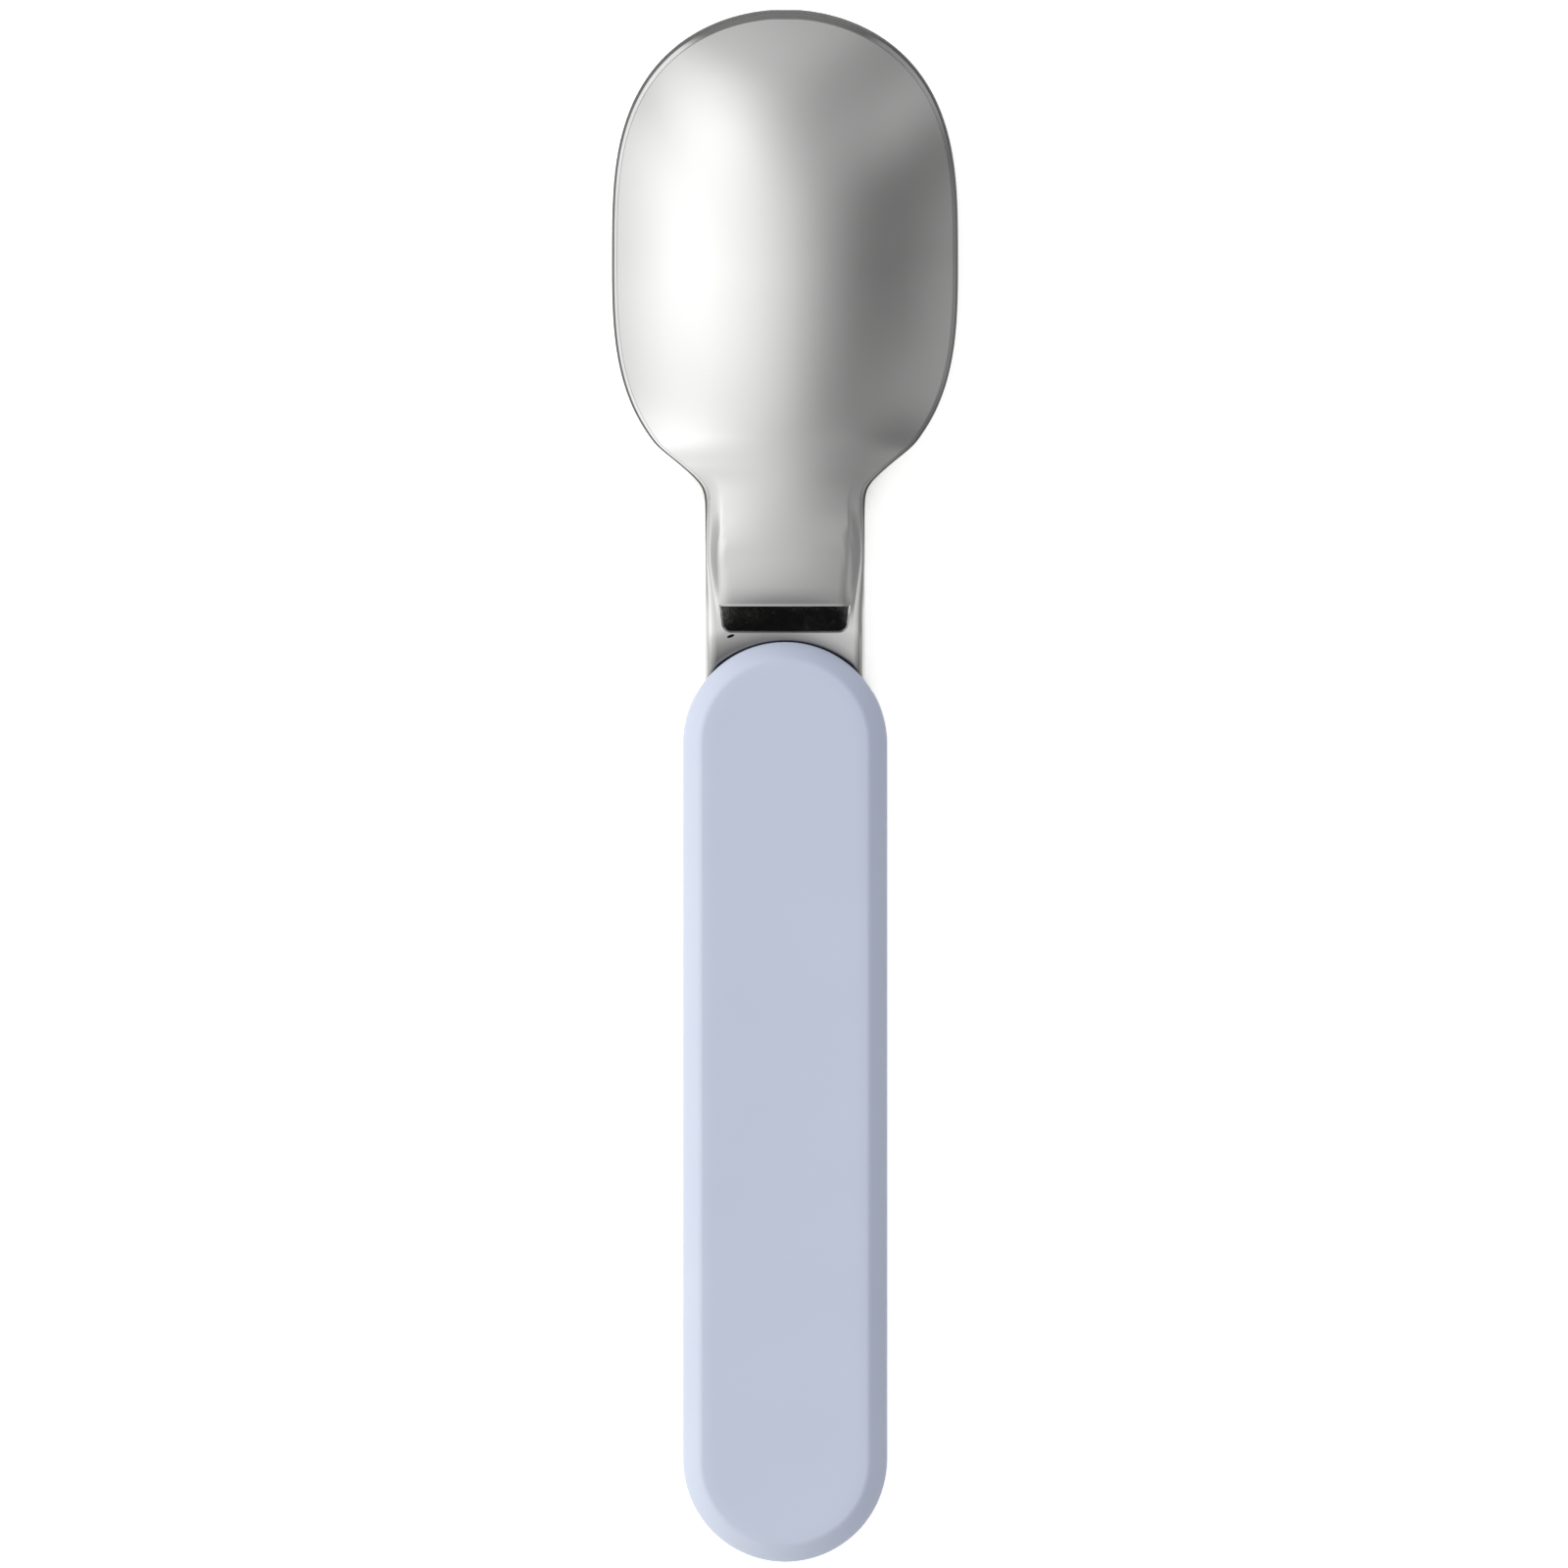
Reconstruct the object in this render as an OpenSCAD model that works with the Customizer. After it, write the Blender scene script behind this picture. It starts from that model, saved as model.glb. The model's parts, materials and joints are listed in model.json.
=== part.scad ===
// Folding spoon: a pressed stainless head that turns on a pin in a two-shell plastic handle.
// It lies with the round back of the bowl up. +Y points at the tip, +Z up, and the handle's back rests on
// z = 0 with the tip of the bowl just clear of it. The middle of the whole length is at y = 0.

/* [Handle] */
// Length of the handle
handle_length = 100.6; // [92:0.1:112]
// Width of the handle, which also sets its round ends
handle_width = 22.4; // [21.6:0.1:25]
// Thickness of the handle
handle_thickness = 11.2; // [10.8:0.1:13]
// How far each side leans in from the seam to the front face
side_draft = 0.1; // [0:0.1:0.8]
// Width of the bevel round the front face
face_bevel = 1.9; // [1.2:0.1:2.4]
// Height of that bevel
bevel_height = 1.9; // [1.2:0.1:2.1]
// Length by which each corner of the bevel is rounded
bevel_round = 0.5; // [0.2:0.05:0.6]
// Radius of the edge round the back face
back_round = 1.2; // [0.6:0.1:1.8]
// Depth of the bevel on each side of the seam
seam_bevel = 0.2; // [0.1:0.05:0.4]
// Side wall of the shells round their cavity
shell_wall = 2.2; // [1.8:0.1:3]
// Thickness of the roof over the hinge and of the front wall
roof = 2.2; // [1.9:0.1:2.6]
// Thickness of the back wall
floor_wall = 2; // [1.5:0.1:2.5]

/* [Head] */
// Distance from the hinge pin to the tip
head_reach = 80.6; // [76:0.1:86]
// Width of the bowl
bowl_width = 37.9; // [34:0.1:42]
// Length of the bowl's own oval
bowl_length = 54.1; // [50:0.1:58]
// Squareness of the bowl's outline, where 2 is an ellipse
bowl_squareness = 3.1; // [2.4:0.1:4]
// Depth of the bowl from its rim to its back
bowl_depth = 6.6; // [5.6:0.1:7.6]
// Squareness of the bowl's crest from its middle to the tip
crest_squareness = 2.4; // [2:0.1:3]
// Slope of the rim from the middle of the bowl to the tip
rake = 0.123; // [0.1:0.001:0.15]
// Width of the neck over its flanges
neck_width = 17.4; // [16.4:0.1:18.6]
// Height of the neck's raised middle over the web at the slot
neck_rise = 1.63; // [1.3:0.01:2]
// Height of the shoulders between the neck and the bowl over the web at the slot
shoulder_rise = 0.9; // [0.6:0.05:1.2]
// Share of the raised neck's height that is a crown from side to side
bump_crown = 0.5; // [0.3:0.05:0.6]
// Slope of the web down to the hinge
web_slope = 0.36; // [0.2:0.02:0.4]
// Thickness of the steel sheet
sheet = 1; // [0.8:0.05:1.2]
// Width of the ledge beside the raised neck at the slot, with the bend into the flange
ledge = 1.15; // [0.9:0.05:1.4]
// Width of that ledge where it is narrowest
ledge_narrow = 0.32; // [0.3:0.02:0.5]
// Width of the facet along the bowl's rim
rim_band = 0.6; // [0.4:0.05:0.9]
// Width of that facet at the tip
tip_band = 1.1; // [0.7:0.05:1.5]
// Length of the slot across the neck
slot_width = 13.5; // [11:0.1:14]
// Width of the slot along the neck
slot_gap = 2.7; // [2:0.1:3.5]
// Corner radius of the slot
slot_corner = 1.1; // [0.6:0.1:1.3]
// Distance from the pin to the near edge of the slot
slot_start = 12.3; // [12:0.1:13.5]

/* [Hinge] */
// Diameter of the hinge pin
pin_diameter = 3; // [2.5:0.1:3.4]
// Radius of the ears round the pin
ear_radius = 4.35; // [4.1:0.05:4.5]
// Radial clearance of the pin in the ears
running_clearance = 0.05; // [0.02:0.01:0.09]
// Radial clearance of the pin in its saddles
saddle_clearance = 0.02; // [0.01:0.01:0.04]
// Gap between the web and the roof that stops it
stop_gap = 0.15; // [0.1:0.05:0.3]
// Thickness of each washer
washer_thickness = 0.3; // [0.2:0.05:0.4]
// Outer radius of the washers
washer_radius = 3.9; // [3.2:0.1:4.1]
// Play on each face of a washer
washer_play = 0.05; // [0.03:0.01:0.1]
// Angle through which the head folds
fold_angle = 173; // [165:0.5:175]

/* [Spring] */
// Thickness of the spring strip
spring_thickness = 0.35; // [0.25:0.05:0.4]
// Gap between the strip and the top of the ears
spring_gap = 0.05; // [0.03:0.01:0.1]
// Distance from the pin back to the rivet
rivet_back = 8.5; // [7.5:0.1:9]
// Diameter of the rivet's shank
rivet_shank = 2; // [1.6:0.1:2.2]
// Diameter of the rivet's head
rivet_head = 4; // [3.4:0.1:4.6]

/* [Hidden] */
$fn = 64;
steel = "silver";
lavender = "lightsteelblue";
over = 1;

// Main levels and places, with s measured from the pin towards the tip
end_radius = handle_width / 2;
butt_reach = handle_length - end_radius;
roof_z = handle_thickness - roof;
web_z = roof_z - stop_gap;
pin_z = web_z - ear_radius;
pin_radius = pin_diameter / 2;
ear_face = neck_width / 2;
cheek_face = ear_face + washer_thickness + 2 * washer_play;

// The outline of the head, with the fillets between the neck and the bowl
bowl_mid = head_reach - bowl_length / 2;
junction = head_reach - bowl_length;
slot_end = slot_start + slot_gap;
tip_cut = 0.002;
tip_s = head_reach - tip_cut * bowl_length / 2;
pin_y = (butt_reach - tip_s) / 2;
fillet_start = junction + 1.6;
fillet_slope = 0.0579 * (bowl_width - neck_width);
fillet_soft = 0.7;

// The crown inside the rim's facet
crown_length = bowl_length / 2 - tip_band;
crown_end = bowl_mid + crown_length * (1 - tip_cut);
facet_steeper = 0.14;

// Spans of s over which the neck's features fade into the bowl
ledge_fade = [slot_start + 0.7, slot_end + 7];
bend_fade = [slot_end + 4, junction + 1];
shape_fade = [slot_end + 6, junction + 3];
fillet_fade = [junction + 4, junction + 7.5];
sheet_fade = [junction - 6, junction + 7];
flange_fade = [slot_end - 1, junction + 0.5];

function smooth(a, b, s) = let (t = min(1, max(0, (s - a) / (b - a)))) t * t * (3 - 2 * t);
function fade(range, s) = 1 - smooth(range[0], range[1], s);
function mix(a, b, t) = a + (b - a) * t;
function unit(v) = v / norm(v);

// Drop of the web below its level at the slot
dip_start = slot_start - 0.1;
web_bend = 0.6;
function web_dip(s) = let (u = max(0, dip_start - s))
    web_slope * (u < web_bend ? u * u / (2 * web_bend) : u - web_bend / 2);

// Levels of the head: the web meets the end of the roof, and the tip stays just clear of z = 0
tip_gap = 0.1;
tip_slope = bowl_depth * crest_squareness / crown_length + rake;
tip_rim_z = tip_slope * tip_band + sheet * sqrt(1 + tip_slope * tip_slope) + tip_gap;
mid_rim_z = tip_rim_z + rake * (crown_end - bowl_mid);
bowl_crest = mid_rim_z + bowl_depth;
crest_back = 6.5;
bowl_top = bowl_crest + rake * crest_back / 3;
slot_z = web_z + web_dip(end_radius);
neck_top = slot_z + neck_rise;
shoulder_z = slot_z + shoulder_rise;
rim_drop = shoulder_z - mid_rim_z;

// Lines along the middle and along the rim, given as [s, height, slope]
crest_line = [
    [slot_start - 0.3, slot_z, 0],
    [slot_end, slot_z + 0.305 * neck_rise, 0.294 * neck_rise],
    [slot_end + 2.2, slot_z + 0.723 * neck_rise, 0.104 * neck_rise],
    [slot_end + 6, neck_top, 0.061 * neck_rise],
    [junction + 7.5, mix(neck_top, bowl_top, 0.673), 0.051 * (bowl_top - neck_top)],
    [bowl_mid - crest_back, bowl_top, 0],
    [bowl_mid, bowl_crest, -rake]
];
rim_line = [
    [slot_end, slot_z, 0],
    [slot_end + 5, slot_z + 0.055 * shoulder_rise, 0.055 * shoulder_rise],
    [junction - 1.5, slot_z + 0.667 * shoulder_rise, 0.167 * shoulder_rise],
    [junction + 1.5, shoulder_z, 0],
    [junction + 4.5, shoulder_z - 0.129 * rim_drop, -0.077 * rim_drop],
    [junction + 8, shoulder_z - 0.429 * rim_drop, -0.084 * rim_drop],
    [junction + 12.5, shoulder_z - 0.74 * rim_drop, -0.043 * rim_drop],
    [junction + 18.5, shoulder_z - 0.884 * rim_drop, -0.017 * rim_drop],
    [bowl_mid, mid_rim_z, -rake]
];
function between(a, b, s) = let (w = b[0] - a[0], t = (s - a[0]) / w)
    a[1] * (2 * t + 1) * pow(t - 1, 2) + b[1] * t * t * (3 - 2 * t)
    + w * (a[2] * t * pow(t - 1, 2) + b[2] * t * t * (t - 1));
function along(line, s, i = 0) =
    i < len(line) - 2 && s > line[i + 1][0] ? along(line, s, i + 1) : between(line[i], line[i + 1], s);

// Flanges and ears, coined a little thinner than the sheet
coining = 0.03;
web_start = pin_radius + 1;
flange_start = web_start / 2;
flange_end = flange_fade[1];
flange_cover = 0.7 * sheet;
function flange_low(s) = mix(rim_z(s) - sheet, pin_z - pin_diameter, fade(flange_fade, s));

// Recess in the handle that the neck folds into, as long as the folded flanges
recess_gap = 0.32;
recess_flat = rivet_back + rivet_head / 2 + 1.5;
recess_end = recess_gap + max(-flange_end * cos(fold_angle), recess_flat + roof_z);
cheek_front = end_radius / 2;
cavity_start = recess_end + 3.5;

// Half the width of the outline and of the crown in plan
function oval_half(s, half, reach) = let (u = abs(s - bowl_mid) / reach)
    u < 1 ? half * sqrt(1 - pow(u, bowl_squareness)) : 0;
function neck_half(s) =
    neck_width / 2 + fillet_soft * ln(1 + exp(min(30, fillet_slope * (s - fillet_start) / fillet_soft)));
function outline_half(s) = let (bowl = oval_half(s, bowl_width / 2, bowl_length / 2))
    s > bowl_mid ? bowl : mix(bowl, neck_half(s), fade(fillet_fade, s));
function ledge_width(s) = mix(ledge_narrow, ledge, fade(ledge_fade, s));
function crown_half(s) = s > bowl_mid ? oval_half(s, bowl_width / 2 - rim_band, crown_length)
    : outline_half(s) - mix(rim_band, ledge_width(s), fade(bend_fade, s));

// Level of the rim and of the ledges beside the raised neck, and height of the crest over it
function rim_z(s) = s < slot_end ? slot_z - web_dip(s)
    : s > bowl_mid ? mid_rim_z - rake * (s - bowl_mid) : along(rim_line, s);
function crest_rise(s) = s <= crest_line[0][0] ? 0
    : s >= bowl_mid ? bowl_depth * (1 - pow((s - bowl_mid) / crown_length, crest_squareness))
    : along(crest_line, s) - rim_z(s);

// Shape across the crown, from 1 on the crest to 0 on its edge: a parabola in the bowl, walls on the neck
wall_start = 0.79;
wall_round = 0.22;
function round_ramp(t) = let (steep = 1 / (1 - wall_round))
    t < wall_round ? steep * t * t / (2 * wall_round)
    : t > 1 - wall_round ? 1 - steep * pow(1 - t, 2) / (2 * wall_round) : steep * (t - wall_round / 2);
function wall(q) = 1 - round_ramp(max(0, (abs(q) - wall_start) / (1 - wall_start)));
function shape(s, q) = mix(1 - q * q, (1 - bump_crown * q * q) * wall(q), fade(shape_fade, s));

// Points of the crown, where q runs from -1 to 1, and the sheet's thickness below it
step = 0.02;
function crown_point(s, q) = [q * crown_half(s), s, rim_z(s) + crest_rise(s) * shape(s, q)];
function normal(s, q) =
    let (along_s = crown_point(s + step, q) - crown_point(s - step, q),
         along_q = crown_point(s, min(1, q + step)) - crown_point(s, max(-1, q - step)))
    unit(cross(along_q, along_s));
function crown_under(s, q) = crown_point(s, q) - sheet * mix(normal(s, q), [0, 0, 1], fade(sheet_fade, s));

// Points of the edge outside the crown in steps of k, where the rim's facet turns into the bend of the neck
crown_steps = 8;
edge_steps = 3;
bend_flat = 0.3;
function outline_s(s) = s <= bowl_mid ? s : bowl_mid + (s - bowl_mid) * bowl_length / 2 / crown_length;
function edge_out(s, q) = [q * (outline_half(outline_s(s)) - crown_half(s)), outline_s(s) - s, 0];
function edge_slope(s, q) = let (n = normal(s, q), out = edge_out(s, q)) n * out / (n[2] * norm(out));
function edge_point(s, q, k) =
    let (out = edge_out(s, q), neck = fade(bend_fade, s), turn = 90 * k / edge_steps,
         rim_drop = (edge_slope(s, q) + facet_steeper) * k / edge_steps,
         bend_drop = (1 - bend_flat) * (1 - cos(turn)),
         share = mix(k / edge_steps, bend_flat + (1 - bend_flat) * sin(turn), neck))
    crown_point(s, q) + share * out - [0, 0, norm(out) * mix(rim_drop, bend_drop, neck)];
function edge_under(s, q, k) =
    let (slope = edge_slope(s, q),
         height = sheet * sqrt(1 + slope * slope) - facet_steeper * norm(edge_out(s, q)),
         foot = edge_point(s, q, edge_steps) - [0, 0, height],
         bowl = mix(crown_under(s, q), foot, k / edge_steps))
    mix(bowl, edge_point(s, q, k) - [0, 0, sheet], fade(bend_fade, s));
function outer_point(s, q, k) = k == 0 ? crown_point(s, q) : edge_point(s, q, k);
function inner_point(s, q, k) = k == 0 ? crown_under(s, q) : edge_under(s, q, k);

// Stations along the sheet, closer together at the lip, the fillets and the tip
function spread(a, b, n) = [for (i = [0 : n - 1]) a + (b - a) * i / n];
tip_start = bowl_mid + bowl_length * 0.27;
stations = concat(
    spread(web_start, dip_start - 0.8, 2),
    spread(dip_start - 0.8, slot_end, 6),
    spread(slot_end, slot_end + 2.2, 4),
    spread(slot_end + 2.2, junction - 4, 4),
    spread(junction - 4, junction + 8, 13),
    spread(junction + 8, tip_start, 10),
    [for (i = [9 : -1 : 0]) crown_end - (crown_end - tip_start) * i * i / 81]);

// Places across the sheet as [q, k]
across = concat(
    [for (k = [edge_steps : -1 : 1]) [-1, k]],
    [for (i = [-crown_steps : crown_steps]) [sin(90 * i / crown_steps), 0]],
    [for (k = [1 : edge_steps]) [1, k]]);

// Closed skin over two grids of points, the outer one first, with a patch on each across the blunt tip
module sheet_skin(outer, inner, outer_tip, inner_tip) {
    rows = len(outer);
    columns = len(outer[0]);
    patch = len(outer_tip[0]);
    last = patch + 1;
    grid = rows * columns;
    function o(i, j) = i * columns + j;
    function n(i, j) = grid + o(i, j);
    function tip_column(j, k) = k == 0 ? edge_steps + j : j == 0 ? edge_steps - k : edge_steps + last + k;
    function on_grid(j, k) = k == 0 || j == 0 || j == last;
    function patch_index(j, k) = 2 * grid + (k - 1) * patch + j - 1;
    function ot(j, k) = on_grid(j, k) ? o(rows - 1, tip_column(j, k)) : patch_index(j, k);
    function nt(j, k) = on_grid(j, k) ? n(rows - 1, tip_column(j, k)) : patch_index(j, k + edge_steps);
    function quad(a, b, c, d) = [[a, b, c], [a, c, d]];
    faces = [
        for (i = [0 : rows - 2], j = [0 : columns - 2])
            each quad(o(i, j), o(i + 1, j), o(i + 1, j + 1), o(i, j + 1)),
        for (i = [0 : rows - 2], j = [0 : columns - 2])
            each quad(n(i, j), n(i, j + 1), n(i + 1, j + 1), n(i + 1, j)),
        for (i = [0 : rows - 2])
            each quad(o(i, 0), n(i, 0), n(i + 1, 0), o(i + 1, 0)),
        for (i = [0 : rows - 2])
            each quad(o(i, columns - 1), o(i + 1, columns - 1), n(i + 1, columns - 1), n(i, columns - 1)),
        for (j = [0 : columns - 2])
            each quad(o(0, j), o(0, j + 1), n(0, j + 1), n(0, j)),
        for (k = [0 : edge_steps - 1], j = [0 : patch])
            each quad(ot(j, k), ot(j, k + 1), ot(j + 1, k + 1), ot(j + 1, k)),
        for (k = [0 : edge_steps - 1], j = [0 : patch])
            each quad(nt(j, k), nt(j + 1, k), nt(j + 1, k + 1), nt(j, k + 1)),
        for (j = [0 : patch])
            each quad(ot(j, edge_steps), nt(j, edge_steps), nt(j + 1, edge_steps), ot(j + 1, edge_steps))
    ];
    points = [for (part = [outer, inner, outer_tip, inner_tip], row = part) each row];
    polyhedron(points = points, faces = faces);
}

// Bowl, neck and web as one formed sheet
module formed_sheet() {
    tip = [for (i = [1 - crown_steps : crown_steps - 1]) sin(90 * i / crown_steps)];
    sheet_skin(
        [for (s = stations) [for (p = across) outer_point(s, p[0], p[1])]],
        [for (s = stations) [for (p = across) inner_point(s, p[0], p[1])]],
        [for (k = [1 : edge_steps]) [for (q = tip) outer_point(crown_end, q, k)]],
        [for (k = [1 : edge_steps]) [for (q = tip) inner_point(crown_end, q, k)]]);
}

// Side profile in the plane of s and z, carried across x from -half to half
module across_profile(half) {
    translate([-half, 0, 0]) rotate([90, 0, 90]) linear_extrude(2 * half) children();
}

// Flange of one side with its ear, in the plane of s and z
module flange_profile() {
    steps = 18;
    places = [for (i = [0 : steps]) mix(flange_start, flange_end, i / steps)];
    polygon(concat(
        [for (s = places) [s, rim_z(s) - flange_cover]],
        [for (i = [steps : -1 : 0]) [places[i], flange_low(places[i])]]));
    translate([0, pin_z]) circle(ear_radius);
}

module flange(side) {
    translate([side * (ear_face - sheet / 2), 0, 0])
        across_profile(sheet / 2 - coining) difference() {
            flange_profile();
            translate([0, pin_z]) circle(pin_radius + running_clearance);
        }
}

module slot() {
    half = slot_width / 2 - slot_corner;
    translate([0, 0, slot_z - 2 * sheet]) linear_extrude(neck_rise + 4 * sheet) {
        translate([-half, slot_start]) square([2 * half, slot_gap]);
        translate([-slot_width / 2, slot_start + slot_corner]) square([slot_width, slot_gap - slot_corner]);
        for (side = [-1, 1])
            translate([side * half, slot_start + slot_corner]) circle(slot_corner);
    }
}

module spoon_head() {
    color(steel) translate([0, pin_y, 0]) {
        difference() {
            formed_sheet();
            slot();
        }
        for (side = [-1, 1]) flange(side);
    }
}

// Solid with a stadium plan, from the half profile in radius and height given as its child
module stadium_solid(straight) {
    rotate_extrude(angle = 180) children();
    translate([0, -straight, 0]) rotate([0, 0, 180]) rotate_extrude(angle = 180) children();
    rotate([90, 0, 0]) linear_extrude(straight) {
        children();
        mirror([1, 0]) children();
    }
}

function arc_points(x, z, r, from, to, n) =
    [for (i = [0 : n]) let (a = from + (to - from) * i / n) [x + r * cos(a), z + r * sin(a)]];

// Points that round the corner at c of a line from a over c to b
function towards(c, a) = c + bevel_round * unit(a - c);
function rounded(a, c, b, n) = let (from = towards(c, a), to = towards(c, b))
    [for (i = [0 : n]) let (t = i / n) mix(mix(from, c, t), mix(c, to, t), t)];

module front_profile() {
    low = [end_radius, pin_z + seam_bevel];
    side = [end_radius - side_draft, handle_thickness - bevel_height];
    face = [side[0] - face_bevel, handle_thickness];
    middle = [0, handle_thickness];
    polygon(concat(
        [[0, pin_z], [end_radius - seam_bevel, pin_z], low],
        rounded(low, side, face, 3),
        rounded(side, face, middle, 3),
        [middle]));
}

module back_profile() {
    polygon(concat(
        [[0, 0]],
        arc_points(end_radius - back_round, back_round, back_round, -90, 0, 6),
        [[end_radius, pin_z - seam_bevel], [end_radius - seam_bevel, pin_z], [0, pin_z]]));
}

// Recess for the neck, open at the front and the back and ramped at its inner end
module neck_recess() {
    ramp = (recess_end - recess_flat) / roof_z;
    across_profile(cheek_face) polygon([
        [end_radius + over, -over],
        [end_radius + over, roof_z],
        [-recess_flat, roof_z],
        [-recess_end - ramp * over, -over]
    ]);
    translate([-handle_width, cheek_front, -over]) cube([2 * handle_width, end_radius, roof_z + over]);
}

// Half-round seats for the pin, cut from both shells at their seam
pin_seat_depth = 1.2;
pin_half_length = cheek_face + pin_seat_depth;
module pin_saddles() {
    reach = pin_half_length + saddle_clearance;
    translate([-reach, 0, pin_z]) rotate([0, 90, 0])
        cylinder(r = pin_radius + saddle_clearance, h = 2 * reach);
}

// Cavity behind the recess between two levels, with the round end of the butt
cavity_end = butt_reach - end_radius;
module cavity(from, to) {
    half = end_radius - shell_wall;
    translate([0, 0, from]) linear_extrude(to - from) {
        translate([-half + coining, -cavity_end]) square([2 * (half - coining), cavity_end - cavity_start]);
        translate([0, -cavity_end]) circle(half);
    }
}

// Pegs on the back shell stand in bosses of the front shell
peg_radius = 1.5;
peg_clearance = 0.05;
peg_depth = 2.5;
boss_radius = 3;
peg_places = [-cavity_start - boss_radius - 4, -cavity_end];
rib_thickness = 1.2;
rib_depth = 2.5;
rib_count = 3;
rib_places = [for (i = [1 : rib_count]) mix(peg_places[0], peg_places[1], i / (rib_count + 1))];

// Spring strip and the shallow seat for it in the roof
strip_z = web_z + spring_gap;
strip_inset = 0.1;
strip_half = ear_face - strip_inset;
strip_front = pin_radius;
strip_margin = 0.5;
strip_back = recess_flat - strip_margin;
strip_length = strip_back + strip_front;
seat_gap = 0.2;
module spring_seat() {
    half = strip_half + seat_gap;
    translate([-half, -strip_back - seat_gap, roof_z - over])
        cube([2 * half, strip_length + 2 * seat_gap, over + strip_z + spring_thickness - roof_z]);
}

// Rivet that holds the strip, with a low dome for a head
rivet_depth = 0.9;
rivet_dome = 0.8;
rivet_top = strip_z + spring_thickness + rivet_depth;

module front_shell() {
    color(lavender) translate([0, pin_y, 0]) {
        difference() {
            stadium_solid(butt_reach - end_radius) front_profile();
            neck_recess();
            pin_saddles();
            spring_seat();
            cavity(pin_z - over, roof_z);
            translate([0, -rivet_back, roof_z - over])
                cylinder(d = rivet_shank, h = rivet_top - roof_z + over);
        }
        for (s = peg_places)
            translate([0, s, 0]) difference() {
                translate([0, 0, pin_z]) cylinder(r = boss_radius, h = roof_z + roof / 2 - pin_z);
                translate([0, 0, pin_z - over])
                    cylinder(r = peg_radius + peg_clearance, h = peg_depth + over + peg_clearance);
            }
        for (s = rib_places)
            translate([shell_wall / 2 - end_radius, s - rib_thickness / 2, roof_z - rib_depth])
                cube([handle_width - shell_wall, rib_thickness, rib_depth + roof / 2]);
    }
}

module back_shell() {
    color(lavender) translate([0, pin_y, 0]) {
        difference() {
            stadium_solid(butt_reach - end_radius) back_profile();
            neck_recess();
            pin_saddles();
            cavity(floor_wall, pin_z + over);
        }
        for (s = peg_places)
            translate([0, s, floor_wall / 2])
                cylinder(r = peg_radius, h = pin_z + peg_depth - floor_wall / 2);
    }
}

module hinge_pin() {
    color(steel) translate([-pin_half_length, pin_y, pin_z]) rotate([0, 90, 0])
        cylinder(r = pin_radius, h = 2 * pin_half_length);
}

module washer(side) {
    color("white") translate([side * (ear_face + washer_play + washer_thickness / 2), pin_y, pin_z])
        rotate([0, 90, 0]) difference() {
            cylinder(r = washer_radius, h = washer_thickness, center = true);
            cylinder(r = pin_radius + running_clearance, h = washer_thickness + over, center = true);
        }
}

module left_washer() washer(-1);

module right_washer() washer(1);

module friction_spring() {
    color(steel) translate([0, pin_y, strip_z]) difference() {
        translate([-strip_half, -strip_back, 0]) cube([2 * strip_half, strip_length, spring_thickness]);
        translate([0, -rivet_back, -over]) cylinder(d = rivet_shank, h = spring_thickness + 2 * over);
    }
}

module spring_rivet() {
    r = (pow(rivet_head / 2, 2) + rivet_dome * rivet_dome) / (2 * rivet_dome);
    color(steel) translate([0, pin_y - rivet_back, 0]) {
        translate([0, 0, strip_z]) cylinder(d = rivet_shank, h = spring_thickness + rivet_depth);
        translate([0, 0, strip_z]) mirror([0, 0, 1]) rotate_extrude()
            polygon(concat([[0, 0]], [for (i = [0 : 6])
                let (a = asin(rivet_head / 2 / r) * (1 - i / 6))
                [r * sin(a), r * cos(a) - r + rivet_dome]]));
    }
}

spoon_head();
front_shell();
back_shell();
hinge_pin();
left_washer();
right_washer();
friction_spring();
spring_rivet();
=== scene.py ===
# Folding spoon: smooth meshes, finishes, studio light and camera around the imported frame.
# Sizes are in millimetres until a mesh is made, and those of the floor and the lamp are in metres.
# s runs along the spoon from the hinge pin towards the tip, and q across it from -1 to 1.
import json
import math

import bmesh
import bpy
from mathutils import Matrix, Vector


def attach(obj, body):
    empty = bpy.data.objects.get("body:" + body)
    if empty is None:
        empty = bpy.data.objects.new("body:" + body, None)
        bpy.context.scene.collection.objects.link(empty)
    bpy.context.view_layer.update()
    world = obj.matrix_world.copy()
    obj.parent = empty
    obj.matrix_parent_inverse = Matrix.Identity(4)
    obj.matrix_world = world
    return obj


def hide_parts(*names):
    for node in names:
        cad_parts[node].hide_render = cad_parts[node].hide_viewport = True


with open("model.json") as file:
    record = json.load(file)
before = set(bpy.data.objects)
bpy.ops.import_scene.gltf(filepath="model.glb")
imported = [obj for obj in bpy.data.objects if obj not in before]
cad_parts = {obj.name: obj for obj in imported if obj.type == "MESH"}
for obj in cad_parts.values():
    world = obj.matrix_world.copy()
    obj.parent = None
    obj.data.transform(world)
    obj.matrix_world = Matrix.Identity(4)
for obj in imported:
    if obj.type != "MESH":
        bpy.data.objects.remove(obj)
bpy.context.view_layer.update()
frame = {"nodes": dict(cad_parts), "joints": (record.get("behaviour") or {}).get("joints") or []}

MM = 0.001
PIN_X, PIN_Y, PIN_Z = (v / MM for v in frame["joints"][0]["pos_m"])

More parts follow.
